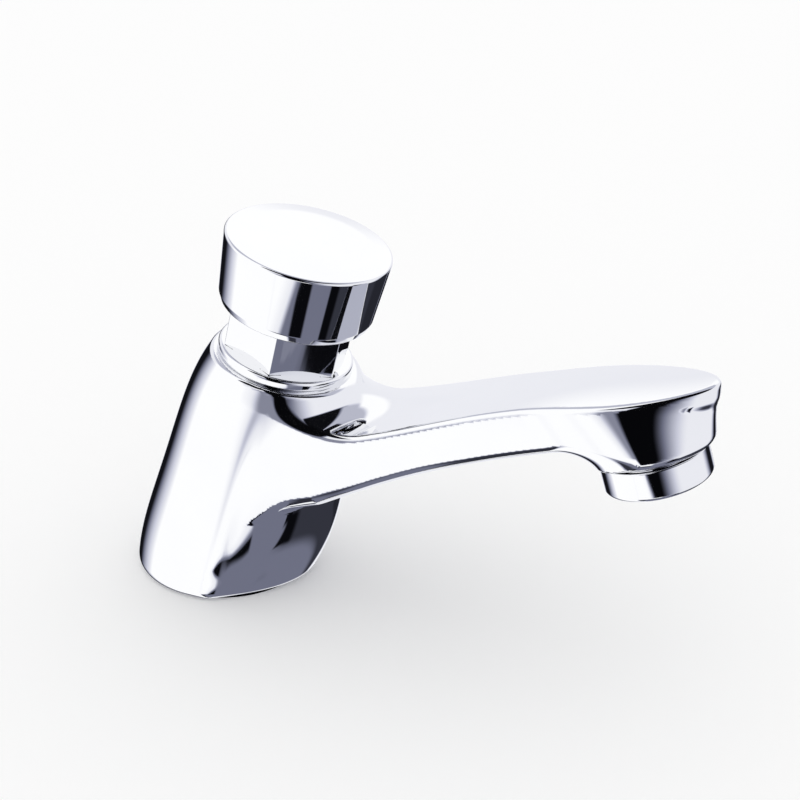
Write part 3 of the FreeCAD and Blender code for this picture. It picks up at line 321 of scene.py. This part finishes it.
def drift_of_finish():
    """A node group whose colour, roughness and height drift together over a piece: one noise picks a
    place between dark and bright, the same place between smooth and rough, and is the height itself."""
    group = bpy.data.node_groups.new("finish_drift", "ShaderNodeTree")
    for side, name, kind in (("INPUT", "Scale", "Float"), ("INPUT", "Dark", "Color"),
                             ("INPUT", "Bright", "Color"), ("INPUT", "Smooth", "Float"),
                             ("INPUT", "Rough", "Float"), ("OUTPUT", "Colour", "Color"),
                             ("OUTPUT", "Roughness", "Float"), ("OUTPUT", "Height", "Float")):
        group.interface.new_socket(name, in_out=side, socket_type="NodeSocket" + kind)
    nodes = group.nodes
    given, result = nodes.new("NodeGroupInput").outputs, nodes.new("NodeGroupOutput").inputs
    place, noise = nodes.new("ShaderNodeTexCoord"), nodes.new("ShaderNodeTexNoise")
    tint, gloss = nodes.new("ShaderNodeMix"), nodes.new("ShaderNodeMapRange")
    noise.inputs["Detail"].default_value = NOISE_DETAIL
    tint.data_type = "RGBA"
    for source, target in ((place.outputs["Object"], noise.inputs["Vector"]),
                           (given["Scale"], noise.inputs["Scale"]),
                           (noise.outputs["Fac"], tint.inputs["Factor"]),
                           (given["Dark"], tint.inputs["A"]),
                           (given["Bright"], tint.inputs["B"]),
                           (noise.outputs["Fac"], gloss.inputs["Value"]),
                           (given["Smooth"], gloss.inputs["To Min"]),
                           (given["Rough"], gloss.inputs["To Max"]),
                           (tint.outputs["Result"], result["Colour"]),
                           (gloss.outputs["Result"], result["Roughness"]),
                           (noise.outputs["Fac"], result["Height"])):
        group.links.new(source, target)
    return group


finish_drift = drift_of_finish()
RELIEF_HEIGHT = 0.0002                # full height of a finish's relief, in metres


def drifting(material, shader, scale, dark, bright, smooth, rough, bump=0.0):
    """The drift of finish placed in a material with its own values, and its height as a bump."""
    nodes, links = material.node_tree.nodes, material.node_tree.links
    drift = nodes.new("ShaderNodeGroup")
    drift.node_tree = finish_drift
    for socket, value in (("Scale", scale), ("Dark", (*dark, 1.0)), ("Bright", (*bright, 1.0)),
                          ("Smooth", smooth), ("Rough", rough)):
        drift.inputs[socket].default_value = value
    links.new(drift.outputs["Colour"], shader.inputs["Base Color"])
    links.new(drift.outputs["Roughness"], shader.inputs["Roughness"])
    if bump:
        relief = nodes.new("ShaderNodeBump")
        relief.inputs["Strength"].default_value = bump
        relief.inputs["Distance"].default_value = RELIEF_HEIGHT
        links.new(drift.outputs["Height"], relief.inputs["Height"])
        links.new(relief.outputs["Normal"], shader.inputs["Normal"])


def chrome_material():
    """Polished chrome plate: cool white metal with a faint polishing haze."""
    material, shader = new_material("chrome_plate")
    shader.inputs["Metallic"].default_value = 1.0
    drifting(material, shader, 60.0, (0.86, 0.865, 0.885), (0.90, 0.905, 0.92), 0.02, 0.045)
    return material


chrome = chrome_material()
body.data.materials.append(chrome)


def circle_of(radius, height, columns):
    """A level circle of spots about the piece's own axis: its radius by the turn's cosine and sine."""
    turn = np.arange(columns) * 2 * math.pi / columns
    return np.stack([radius * np.cos(turn), radius * np.sin(turn), np.full(columns, float(height))], axis=1)


def outline_of(corners, steps=6):
    """A half section as (radius, height) points. A corner with a third value is rounded to it: the arc's
    spots are mixed from its two ends by the sines of the sweep that is done and still to do."""
    points = []
    for place, corner in enumerate(corners):
        spot = np.array(corner[:2], float)
        if len(corner) == 2:
            points.append(spot)
            continue
        back = np.array(corners[place - 1][:2]) - spot
        ahead = np.array(corners[(place + 1) % len(corners)][:2]) - spot
        back, ahead = back / np.linalg.norm(back), ahead / np.linalg.norm(ahead)
        half = math.acos(np.clip(back @ ahead, -1.0, 1.0)) / 2
        centre = spot + (back + ahead) / np.linalg.norm(back + ahead) * corner[2] / math.sin(half)
        start = spot + back * corner[2] / math.tan(half) - centre
        stop = spot + ahead * corner[2] / math.tan(half) - centre
        sweep = math.pi - 2 * half
        done = np.linspace(0.0, 1.0, steps + 1)[:, None] * sweep
        arc = centre + (np.sin(sweep - done) * start + np.sin(done) * stop) / math.sin(sweep)
        points.extend(arc)
    return np.array(points)


def skin_between(rings, closed):
    """Quads from each ring of spots to the next, and from the last to the first on a closed section."""
    columns = len(rings[0])
    rows = len(rings) if closed else len(rings) - 1
    row, column = np.meshgrid(np.arange(rows), np.arange(columns), indexing="ij")
    after, beside = (row + 1) % len(rings), (column + 1) % columns
    quads = np.stack([row * columns + column, row * columns + beside, after * columns + beside,
                      after * columns + column], axis=-1)
    return np.concatenate(rings), quads.reshape(-1, 4)


def stood(spots, angle=LEAN, x=AXIS_FOOT, z=0.0):
    """Spots about an upright axis, turned about Y by an angle towards the spout and moved to the axis's
    foot."""
    along, height = spots[:, 0], spots[:, 2]
    return np.stack([x + along * math.cos(angle) + height * math.sin(angle), spots[:, 1],
                     z - along * math.sin(angle) + height * math.cos(angle)], axis=1)


WELD_WITHIN = 1e-7                    # distance in metres at which two spots are one


def finished(piece, material, body_name, slot, *nodes):
    """Weld the seam and the poles, face the skin outwards, keep flats flat and tie the piece to the
    frame."""
    shell = bmesh.new()
    shell.from_mesh(piece.data)
    bmesh.ops.remove_doubles(shell, verts=shell.verts, dist=WELD_WITHIN)
    bmesh.ops.recalc_face_normals(shell, faces=shell.faces)
    shell.to_mesh(piece.data)
    shell.free()
    piece.data.set_sharp_from_angle(angle=SMOOTH_UP_TO)
    weighting = piece.modifiers.new("flats", "WEIGHTED_NORMAL")
    weighting.keep_sharp = True
    piece.data.materials.append(material)
    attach(piece, body_name)
    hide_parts(*nodes)


def turned(name, corners, closed=True, columns=128, **place):
    """A half section turned about the piece's axis, then stood in its place."""
    rings = [circle_of(radius, height, columns) for radius, height in outline_of(corners)]
    spots, quads = skin_between(rings, closed)
    return new_piece(name, stood(spots, **place), quads)


GASKET_IN_R, GASKET_OUT_R, GASKET_THICK = 17.0, 21.0, 2.0
SEAL_R, SEAL_TOP = 12.63, 3.0         # counterbore for the tail's seal
TAIL_HOLE_R, TAIL_TOP = 10.53, 10.0   # hole that the tail screws into
WATERWAY_R, WATERWAY_TOP = 6.5, 12.0  # start of the waterway, which ends blind a little above the tail

middle_of_base = {"angle": 0.0, "x": 0.0}
underside = turned("tap_body_underside", [
    (22.5, 0.05), (GASKET_OUT_R, 0.0), (GASKET_OUT_R, GASKET_THICK), (GASKET_IN_R, GASKET_THICK),
    (GASKET_IN_R, 0.0), (SEAL_R, 0.0), (SEAL_R, SEAL_TOP), (TAIL_HOLE_R, SEAL_TOP), (TAIL_HOLE_R, TAIL_TOP),
    (WATERWAY_R, TAIL_TOP), (WATERWAY_R, WATERWAY_TOP), (0.0, WATERWAY_TOP)], closed=False, **middle_of_base)
finished(underside, chrome, "tap", "chrome", "tap_body")

# Bonnet nut: turned from brass bar and chromed, with a flange on the body's neck and a hexagon for
# the spanner. The cap slides over its upper end.

HEX_ACROSS, HEX_TURN, HEX_CORNER = 28.4, math.radians(40.0), 0.5
FLANGE_R, FLANGE_TOP, HEX_TOP = 17.4, 67.7, 81.0
FLATS_FOOT = FLANGE_TOP + 0.25        # the flange rises a little to the hexagon's foot
BONNET_R, BONNET_FOOT = 14.0, 56.0    # the nut's tail, which screws into the column
SPRING_BORE_R, SPRING_FLOOR = 10.5, 62.0
BUSH_R, BUSH_LOW, ROD_SEAL_R = 6.5, 58.0, 7.5
NO_LIMIT = 99.0                       # a radius that cuts no corner of a hexagon


def hexagon_of(across, height, limit, turn=HEX_TURN, corner=HEX_CORNER):
    """A level hexagon, 16 spots a side, held within a circle of a limit radius: six spots on each
    corner's arc, which swings 30 degrees to either side, and ten on the straight to the next arc."""
    middles = turn + np.arange(6)[:, None] * math.pi / 3
    swings = middles + np.linspace(-1.0, 1.0, 6) * math.pi / 6
    reach = (across / 2 - corner) / math.cos(math.pi / 6)
    arcs = np.stack([reach * np.cos(middles) + corner * np.cos(swings),
                     reach * np.sin(middles) + corner * np.sin(swings)], axis=-1)
    starts, stops = arcs[:, -1:], np.roll(arcs, -1, axis=0)[:, :1]
    sides = starts + np.linspace(0.0, 1.0, 12)[1:-1, None] * (stops - starts)
    plan = np.concatenate([arcs, sides], axis=1).reshape(-1, 2)
    plan = plan * np.minimum(1.0, limit / np.hypot(*plan.T))[:, None]
    return np.column_stack([plan, np.full(len(plan), float(height))])


hex_angles = np.arctan2(*hexagon_of(HEX_ACROSS, 0.0, NO_LIMIT)[:, 1::-1].T)


def circle_for_hexagon(radius, height):
    """A circle whose spots stand at the same angles as the hexagon's."""
    return np.column_stack([radius * np.cos(hex_angles), radius * np.sin(hex_angles),
                            np.full(len(hex_angles), float(height))])


flange = [circle_for_hexagon(radius, height) for radius, height in outline_of([
    (BONNET_R, BONNET_FOOT), (BONNET_R, SEAT), (FLANGE_R, SEAT, 0.7), (FLANGE_R, FLANGE_TOP, 0.9),
    (15.2, FLATS_FOOT)])]
spanner_flats = [hexagon_of(HEX_ACROSS, height, limit) for height, limit in (
    (FLATS_FOOT, NO_LIMIT), (HEX_TOP - 1.5, NO_LIMIT), (HEX_TOP, HEX_ACROSS / 2))]
bore = [circle_for_hexagon(radius, height) for radius, height in (
    (SPRING_BORE_R, HEX_TOP), (SPRING_BORE_R, SPRING_FLOOR), (BUSH_R, SPRING_FLOOR), (BUSH_R, BUSH_LOW),
    (ROD_SEAL_R, BUSH_LOW), (ROD_SEAL_R, BONNET_FOOT))]
bonnet_spots, bonnet_quads = skin_between(flange + spanner_flats + bore, closed=True)
bonnet = new_piece("bonnet_nut_skin", stood(bonnet_spots), bonnet_quads)
finished(bonnet, chrome, "tap", "chrome", "bonnet_nut")

# Push cap: a brass cap with a slightly crowned top, turned and chromed. It is screwed to the rod and
# locked by a nut from inside.

ROD_HOLE_R, ROD_HOLE_TOP = 4.05, 93.0
BOSS_R, BOSS_LOW = 7.5, 87.0          # boss round the rod's end
CAP_BORE_R, CAP_FLOOR = 17.2, 94.6    # hollow that rides over the hexagon
CAP_FOOT, CAP_TOP = 79.5, 98.7
CAP_LOW_R, CAP_HIGH_R = 19.75, 21.1   # the wall leans out towards the top

cap = turned("push_cap_skin", [
    (0.0, ROD_HOLE_TOP), (ROD_HOLE_R, ROD_HOLE_TOP), (ROD_HOLE_R, BOSS_LOW), (BOSS_R, BOSS_LOW),
    (BOSS_R, CAP_FLOOR), (CAP_BORE_R, CAP_FLOOR), (CAP_BORE_R, CAP_FOOT), (18.9, CAP_FOOT, 0.8),
    (CAP_LOW_R, 81.6, 1.2), (CAP_HIGH_R, 97.8, 0.7), (16.0, 98.25, 40.0), (9.0, 98.55, 60.0),
    (0.0, CAP_TOP)], closed=False, columns=192)
finished(cap, chrome, "push_set", "chrome", "push_cap")

# Aerator ring: a turned and chromed brass ring. It screws into the outlet and holds the mesh and the
# jet insert.

RING_R, RING_LOW = 13.3, -7.4
RING_THREAD_R, RING_TOP = 12.0, 6.0
RING_BORE_R, RING_LIP_R, RING_LIP_TOP = 10.4, 9.4, -6.0     # the mesh rests on the lip

aerator_ring = turned("aerator_housing_skin", [
    (RING_LIP_R, RING_LOW, 0.3), (RING_R, RING_LOW, 1.0), (RING_R, 0.0, 0.3), (RING_THREAD_R, 0.0),
    (RING_THREAD_R, RING_TOP), (RING_BORE_R, RING_TOP), (RING_BORE_R, RING_LIP_TOP),
    (RING_LIP_R, RING_LIP_TOP)], angle=-OUTLET_LEAN, x=OUTLET_X, z=OUTLET_Z)
finished(aerator_ring, chrome, "tap", "chrome", "aerator_housing")

# Inlet tail: a brass tube with a rolled G1/2 thread, 14 turns to the inch, and a groove above its end.
# It screws into the body's base and passes down through the deck.

THREAD_PITCH, THREAD_DEEP = 25.4 / 14, 1.1
THREAD_SLOPE, CREST_CUT = 1.25, 0.12  # slope of the thread's flanks, and how flat its crests are
SHANK_R, END_R, SHANK_LOW = 10.48, 9.3, -50.0
THREAD_LOW, THREAD_HIGH, SHANK_COLUMNS = -49.9, 9.0, 72
GROOVE_DEEP, GROOVE_LOW, GROOVE_HIGH, GROOVE_WALL = 1.18, -36.4, -33.6, 0.5
END_TAPER = 1.0                       # depth and height of the chamfer at the tail's end


def brass_material():
    """Machined brass, a little dull, with its colour and gloss drifting in patches."""
    material, shader = new_material("machined_brass")
    shader.inputs["Metallic"].default_value = 1.0
    drifting(material, shader, 120.0, (0.62, 0.44, 0.18), (0.78, 0.60, 0.30), 0.22, 0.38, 0.15)
    return material


brass = brass_material()
heights = np.arange(THREAD_LOW, THREAD_HIGH, THREAD_PITCH / 10)
shares = np.arange(SHANK_COLUMNS) / SHANK_COLUMNS
height_grid, share_grid = np.meshgrid(heights, shares, indexing="ij")
wave = np.abs(((height_grid / THREAD_PITCH - share_grid) % 1.0) * 2.0 - 1.0)
cut = THREAD_DEEP * np.clip(THREAD_SLOPE * wave - CREST_CUT, 0.0, 1.0)
groove = (GROOVE_DEEP * ramp(GROOVE_LOW, GROOVE_LOW + GROOVE_WALL, height_grid)
          * ramp(GROOVE_HIGH, GROOVE_HIGH - GROOVE_WALL, height_grid))
taper = END_TAPER * ramp(THREAD_LOW + END_TAPER, THREAD_LOW, height_grid)
shank_radius = SHANK_R - np.maximum(np.maximum(cut, groove), taper)
thread = np.stack([shank_radius * np.cos(share_grid * 2 * math.pi),
                   shank_radius * np.sin(share_grid * 2 * math.pi), height_grid], axis=-1)
tube_ends = [circle_of(radius, height, SHANK_COLUMNS) for radius, height in (
    (WATERWAY_R, TAIL_TOP), (WATERWAY_R, SHANK_LOW), (END_R, SHANK_LOW))]
shank_spots, shank_quads = skin_between([*thread, *tube_ends], closed=True)
shank = new_piece("inlet_shank_skin", shank_spots, shank_quads)
finished(shank, brass, "tap", "brass", "inlet_shank")

# Fixing kit under the deck: a moulded rubber washer, a stamped steel washer and a flanged brass nut on
# the tail. The moulded gasket sits in a groove under the base.

WASHER_BORE_R, RUBBER_R, STEEL_R = 10.68, 20.0, 19.0
RUBBER_TOP, RUBBER_LOW, STEEL_LOW, FLANGE_LOW, NUT_LOW = -21.0, -24.0, -25.6, -27.4, -33.1
NUT_FLANGE_R, NUT_ACROSS, NUT_CORNER, NUT_END_R = 16.0, 27.0, 0.7, 13.9
GASKET_GAP = 0.05                     # clearance of the gasket in its groove


def rubber_material():
    """Moulded black rubber with a dusty, uneven dullness."""
    material, shader = new_material("black_rubber")
    drifting(material, shader, 90.0, (0.015, 0.015, 0.017), (0.045, 0.045, 0.048), 0.55, 0.8, 0.4)
    return material


def stainless_material():
    """Plain stainless steel, evenly dull."""
    material, shader = new_material("plain_stainless")
    shader.inputs["Metallic"].default_value = 1.0
    drifting(material, shader, 200.0, (0.50, 0.50, 0.51), (0.66, 0.66, 0.67), 0.25, 0.4, 0.1)
    return material


rubber, stainless = rubber_material(), stainless_material()
rubber_washer = turned("deck_rubber_washer_skin", [
    (WASHER_BORE_R, RUBBER_LOW, 0.3), (RUBBER_R, RUBBER_LOW, 0.6), (RUBBER_R, RUBBER_TOP, 0.6),
    (WASHER_BORE_R, RUBBER_TOP, 0.3)], **middle_of_base)
finished(rubber_washer, rubber, "tap", "rubber", "deck_rubber_washer")
steel_washer = turned("deck_metal_washer_skin", [
    (WASHER_BORE_R, STEEL_LOW, 0.2), (STEEL_R, STEEL_LOW, 0.3), (STEEL_R, RUBBER_LOW, 0.3),
    (WASHER_BORE_R, RUBBER_LOW, 0.2)], **middle_of_base)
finished(steel_washer, stainless, "tap", "stainless", "deck_metal_washer")
gasket = turned("base_gasket_skin", [
    (GASKET_IN_R + GASKET_GAP, 0.0, 0.4), (GASKET_OUT_R - GASKET_GAP, 0.0, 0.4),
    (GASKET_OUT_R - GASKET_GAP, GASKET_THICK), (GASKET_IN_R + GASKET_GAP, GASKET_THICK)], **middle_of_base)
finished(gasket, rubber, "tap", "rubber", "base_gasket")
nut_flange = [circle_for_hexagon(radius, height) for radius, height in (
    (TAIL_HOLE_R, STEEL_LOW), (NUT_FLANGE_R - 0.2, STEEL_LOW), (NUT_FLANGE_R, STEEL_LOW - 0.2),
    (NUT_FLANGE_R, FLANGE_LOW + 0.3), (NUT_FLANGE_R - 0.3, FLANGE_LOW))]
nut_flats = [hexagon_of(NUT_ACROSS, height, limit, corner=NUT_CORNER) for height, limit in (
    (FLANGE_LOW, NO_LIMIT), (NUT_LOW + 0.9, NO_LIMIT), (NUT_LOW, NUT_END_R))]
nut_bore = circle_for_hexagon(TAIL_HOLE_R, NUT_LOW)
nut_spots, nut_quads = skin_between([*nut_flange, *nut_flats, nut_bore], closed=True)
back_nut = new_piece("lock_nut_skin", stood(nut_spots, **middle_of_base), nut_quads)
finished(back_nut, brass, "tap", "brass", "lock_nut")

# Return spring: five turns of stainless wire, held between the bush's flange and the washer under the
# cap's lock nut. The real spring shortens as the cap goes down; here it is built at one length.

SPRING_LOW, SPRING_HIGH, SPRING_R, WIRE_R, SPRING_TURNS, TRAVEL = 63.0, 82.5, 8.3, 0.7, 5, 7.0
STEPS_A_TURN, WIRE_SIDES, END_SHARPNESS = 41, 12, 400.0

wire_share = np.linspace(0.0, 1.0, STEPS_A_TURN * SPRING_TURNS)[:, None]
wire_turn = wire_share * SPRING_TURNS * 2 * math.pi
round_wire = np.arange(WIRE_SIDES) * 2 * math.pi / WIRE_SIDES
thick = WIRE_R * np.minimum(1.0, END_SHARPNESS * wire_share * (1.0 - wire_share))
reach = SPRING_R + thick * np.cos(round_wire)
rise = SPRING_HIGH - SPRING_LOW - 2 * WIRE_R
level = SPRING_LOW + WIRE_R + wire_share * rise + thick * np.sin(round_wire)
wire_rings = np.stack([reach * np.cos(wire_turn), reach * np.sin(wire_turn), level], axis=-1)
wire_spots, wire_quads = skin_between(wire_rings, closed=False)
coil = new_piece("return_spring_coil", stood(wire_spots), wire_quads)
finished(coil, stainless, "tap", "stainless", "return_spring")
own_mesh(coil)

# Inner works: rod, piston, valve, sleeve, seals, bush, jet insert and strainer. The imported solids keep
# their shape and take the finish of their material slot.


def acetal_material():
    """White acetal, waxy and slightly warm."""
    material, shader = new_material("white_acetal")
    drifting(material, shader, 70.0, (0.76, 0.76, 0.73), (0.86, 0.86, 0.84), 0.32, 0.45, 0.1)
    return material


finishes = {"chrome": chrome, "brass": brass, "rubber": rubber, "stainless": stainless,
            "acetal": acetal_material()}
for entry in frame["record"]["subparts"]:
    node = frame["nodes"][entry["node"]]
    node.data.materials.clear()
    node.data.materials.append(finishes[entry["material_slot"]])

# Light: a plain white surround of strength 1 all round. Only mirrored rays see it as a studio, a little
# stronger, with a white wall, dark ceiling, black flags, the darker room behind the camera and a dark
# stand below, each a patch with soft edges by turn and height in degrees.

WALL_SHADE, MIRRORED_GAIN = 0.84, 0.12
GREY_AT, GREY = 0.17, (0.155, 0.162, 0.222, 1.0)
PALE_AT, PALE = 0.62, (0.59, 0.60, 0.69, 1.0)
BLACK, WHITE = (0.0, 0.0, 0.0, 1.0), (1.0, 1.0, 1.0, 1.0)
# Each patch: turns from and to, its left and right edges, its low and high heights and their edge, shade.
PATCHES = (
    (-170, -120, 12, 12, -90, 90, 1, 1.05),      # white wall at the left
    (-120, 25, 5, 12, 42, 90, 4, 0.004),         # dark ceiling over the camera
    (25, 180, 12, 20, 44, 90, 8, 0.50),          # greyer ceiling at the back
    (-99, -88, 12, 4, -17, 12, 6, 0.25),         # grey edge of the room behind the camera
    (-88, -66, 4, 42, -23, 60, 3, 0.002),        # dark room behind the camera
    (56, 70, 22, 16, -40, -10, 8, 0.008),        # black flag at the right
    (132, 150, 12, 36, -90, 3, 6, 0.006),        # black flag at the back left
    (-112, -66, 4, 6, -33, -27, 5, 1.0),         # white card low in front
    (-60, -36, 6, 4, -42, -28, 4, 0.22),         # its grey end
    (-110, 84, 10, 10, -90, -39, 2, 0.17),       # dark stand below
    (-20, 86, 14, 6, -50, -39, 6, 0.035),        # its darker edge
    (-80, -64, 4, 4, -46, -40, 1, 0.003),        # black bars on it and beside it
    (-30, -19, 3, 6, -51, -43, 2, 0.003),
    (-34, -26, 1, 3, -43, -31, 2, 0.003),
    (-112, -98, 4, 5, -90, -45, 3, 0.03),
    (60, 88, 8, 6, -39, -28, 2, 0.02),
    (92, 102, 2, 2, -31, -25, 1, 0.004),
    (70, 118, 14, 6, 24, 42, 8, 1.0))            # brighter wall over the far side


def math_node(tree, kind, *values):
    """One Math node, fed by numbers or sockets, and the socket of its answer."""
    step = tree.nodes.new("ShaderNodeMath")
    step.operation = kind
    for socket, value in zip(step.inputs, values):
        if isinstance(value, float):
            socket.default_value = value
        else:
            tree.links.new(value, socket)
    return step.outputs["Value"]


def step_node(tree, value, start, end):
    """A soft step, from 0 where the value is at start to 1 where it is at end, all of them sockets."""
    step = tree.nodes.new("ShaderNodeMapRange")
    step.interpolation_type = "SMOOTHSTEP"
    for source, name in ((value, "Value"), (start, "From Min"), (end, "From Max")):
        tree.links.new(source, step.inputs[name])
    return step.outputs["Result"]


def patch_of_surround():
    """A node group that lays one patch over the surround's shade. The patch covers a ray by the product
    of four soft steps: past its left edge, short of its right one, over its low one, under its high one."""
    group = bpy.data.node_groups.new("surround_patch", "ShaderNodeTree")
    for side in ("Shade", "Turn", "Height", "Middle", "Half", "Left Edge", "Right Edge", "Low", "High",
                 "Edge", "Brightness"):
        group.interface.new_socket(side, in_out="INPUT", socket_type="NodeSocketFloat")
    group.interface.new_socket("Shade", in_out="OUTPUT", socket_type="NodeSocketFloat")
    given, result = group.nodes.new("NodeGroupInput").outputs, group.nodes.new("NodeGroupOutput").inputs
    from_middle = math_node(group, "SUBTRACT", given["Turn"], given["Middle"])
    aside = math_node(group, "WRAP", from_middle, 180.0, -180.0)
    near = math_node(group, "MULTIPLY", given["Half"], -1.0)
    left_end = math_node(group, "SUBTRACT", near, given["Left Edge"])
    right_end = math_node(group, "ADD", given["Half"], given["Right Edge"])
    low_end = math_node(group, "SUBTRACT", given["Low"], given["Edge"])
    high_end = math_node(group, "ADD", given["High"], given["Edge"])
    left, right = step_node(group, aside, left_end, near), step_node(group, aside, given["Half"], right_end)
    low = step_node(group, given["Height"], low_end, given["Low"])
    high = step_node(group, given["Height"], given["High"], high_end)
    short_of_both = math_node(group, "MULTIPLY", math_node(group, "SUBTRACT", 1.0, right),
                              math_node(group, "SUBTRACT", 1.0, high))
    cover = math_node(group, "MULTIPLY", math_node(group, "MULTIPLY", left, low), short_of_both)
    laid = group.nodes.new("ShaderNodeMix")
    for source, target in ((cover, laid.inputs["Factor"]), (given["Shade"], laid.inputs["A"]),
                           (given["Brightness"], laid.inputs["B"]),
                           (laid.outputs["Result"], result["Shade"])):
        group.links.new(source, target)
    return group


world = bpy.data.worlds.new("studio")
bpy.context.scene.world = world
world.use_nodes = True
sky = world.node_tree
heading, parts = sky.nodes.new("ShaderNodeTexCoord"), sky.nodes.new("ShaderNodeSeparateXYZ")
sky.links.new(heading.outputs["Generated"], parts.inputs["Vector"])
ray_turn = math_node(sky, "DEGREES", math_node(sky, "ARCTAN2", parts.outputs["Y"], parts.outputs["X"]))
ray_height = math_node(sky, "DEGREES", math_node(sky, "ARCSINE", parts.outputs["Z"]))
patch = patch_of_surround()
shade = None
for first, last, left_edge, right_edge, low, high, edge, brightness in PATCHES:
    laid = sky.nodes.new("ShaderNodeGroup")
    laid.node_tree = patch
    if shade is None:
        laid.inputs["Shade"].default_value = WALL_SHADE
    else:
        sky.links.new(shade, laid.inputs["Shade"])
    sky.links.new(ray_turn, laid.inputs["Turn"])
    sky.links.new(ray_height, laid.inputs["Height"])
    for side, value in (("Middle", (first + last) / 2), ("Half", (last - first) / 2),
                        ("Left Edge", left_edge), ("Right Edge", right_edge), ("Low", low), ("High", high),
                        ("Edge", edge), ("Brightness", brightness)):
        laid.inputs[side].default_value = value
    shade = laid.outputs["Shade"]
tone = sky.nodes.new("ShaderNodeValToRGB")
tone.color_ramp.elements[0].color, tone.color_ramp.elements[1].color = BLACK, WHITE
for place, colour in ((GREY_AT, GREY), (PALE_AT, PALE)):
    tone.color_ramp.elements.new(place).color = colour
seen, ray = sky.nodes.new("ShaderNodeMix"), sky.nodes.new("ShaderNodeLightPath")
seen.data_type = "RGBA"
seen.inputs["A"].default_value = WHITE
strength = math_node(sky, "MULTIPLY_ADD", ray.outputs["Is Glossy Ray"], MIRRORED_GAIN, 1.0)
background = sky.nodes["Background"]
for source, target in ((shade, tone.inputs["Fac"]), (ray.outputs["Is Glossy Ray"], seen.inputs["Factor"]),
                       (tone.outputs["Color"], seen.inputs["B"]),
                       (seen.outputs["Result"], background.inputs["Color"]),
                       (strength, background.inputs["Strength"])):
    sky.links.new(source, target)

# Floor: the pale top that the tap stands on. It carries the tap's soft shadow. From below it is clear,
# so that the fixing kit can be seen, and the chrome mirrors the surround in its place.

DECK_HALF, DECK_WHITE = 3.0, (0.98, 0.98, 0.98, 1.0)

floor_mesh = bpy.data.meshes.new("deck")
floor_mesh.from_pydata([(-DECK_HALF, -DECK_HALF, 0), (DECK_HALF, -DECK_HALF, 0), (DECK_HALF, DECK_HALF, 0),
                        (-DECK_HALF, DECK_HALF, 0)], [], [(0, 1, 2, 3)])
floor = bpy.data.objects.new("deck", floor_mesh)
bpy.context.collection.objects.link(floor)
floor_paint, floor_shader = new_material("deck_white")
floor_shader.inputs["Base Color"].default_value = DECK_WHITE
floor_shader.inputs["Roughness"].default_value = 1.0
floor_shader.inputs["Specular IOR Level"].default_value = 0.0
paint = floor_paint.node_tree
floor_ray, floor_side = paint.nodes.new("ShaderNodeLightPath"), paint.nodes.new("ShaderNodeNewGeometry")
clear, floor_mix = paint.nodes.new("ShaderNodeBsdfTransparent"), paint.nodes.new("ShaderNodeMixShader")
either = math_node(paint, "MAXIMUM", floor_ray.outputs["Is Glossy Ray"], floor_side.outputs["Backfacing"])
floor_out = next(node for node in paint.nodes if node.type == "OUTPUT_MATERIAL")
for source, target in ((either, floor_mix.inputs["Fac"]), (floor_shader.outputs["BSDF"], floor_mix.inputs[1]),
                       (clear.outputs["BSDF"], floor_mix.inputs[2]),
                       (floor_mix.outputs["Shader"], floor_out.inputs["Surface"])):
    paint.links.new(source, target)
floor_mesh.materials.append(floor_paint)

# The deck would hide these pieces from the chrome above it, so they are hidden from mirrored rays, which
# pass through the floor.
for piece in bpy.data.objects:
    if piece.name.startswith(("inlet_shank", "lock_nut", "deck_rubber", "deck_metal", "inlet_strainer")):
        piece.visible_glossy = False

# Camera: it looks down at the tap from the front right, over the near side of the spout. Its lens is
# set from the length of the view in pixels, and the picture's middle is shifted to match.

AZIMUTH, ELEVATION, ROLL = math.radians(22.0), math.radians(26.76), math.radians(0.78)
VIEW_DISTANCE, TARGET = 0.4, Vector((0.05, 0.0, 0.05))
FOCAL_PIXELS, CENTRE_X, CENTRE_Y, PICTURE_PIXELS = 1585.88, 397.05, 424.9, 800.0
SENSOR_WIDTH = 36.0

back = Vector((math.sin(AZIMUTH) * math.cos(ELEVATION), -math.cos(AZIMUTH) * math.cos(ELEVATION),
               math.sin(ELEVATION)))
sideways = Vector((math.cos(AZIMUTH), math.sin(AZIMUTH), 0.0))
upward = back.cross(sideways)
camera_right = sideways * math.cos(ROLL) + upward * math.sin(ROLL)
camera_up = upward * math.cos(ROLL) - sideways * math.sin(ROLL)
camera_data = bpy.data.cameras.new("camera")
camera = bpy.data.objects.new("camera", camera_data)
bpy.context.collection.objects.link(camera)
camera.matrix_world = Matrix((camera_right, camera_up, back)).transposed().to_4x4()
camera.location = TARGET + back * VIEW_DISTANCE
camera_data.sensor_width = SENSOR_WIDTH
camera_data.lens = FOCAL_PIXELS * SENSOR_WIDTH / PICTURE_PIXELS
camera_data.shift_x = (PICTURE_PIXELS / 2 - CENTRE_X) / PICTURE_PIXELS
camera_data.shift_y = (CENTRE_Y - PICTURE_PIXELS / 2) / PICTURE_PIXELS
camera_data.clip_start = 0.01
bpy.context.scene.camera = camera
bpy.context.scene.view_settings.view_transform = "Standard"
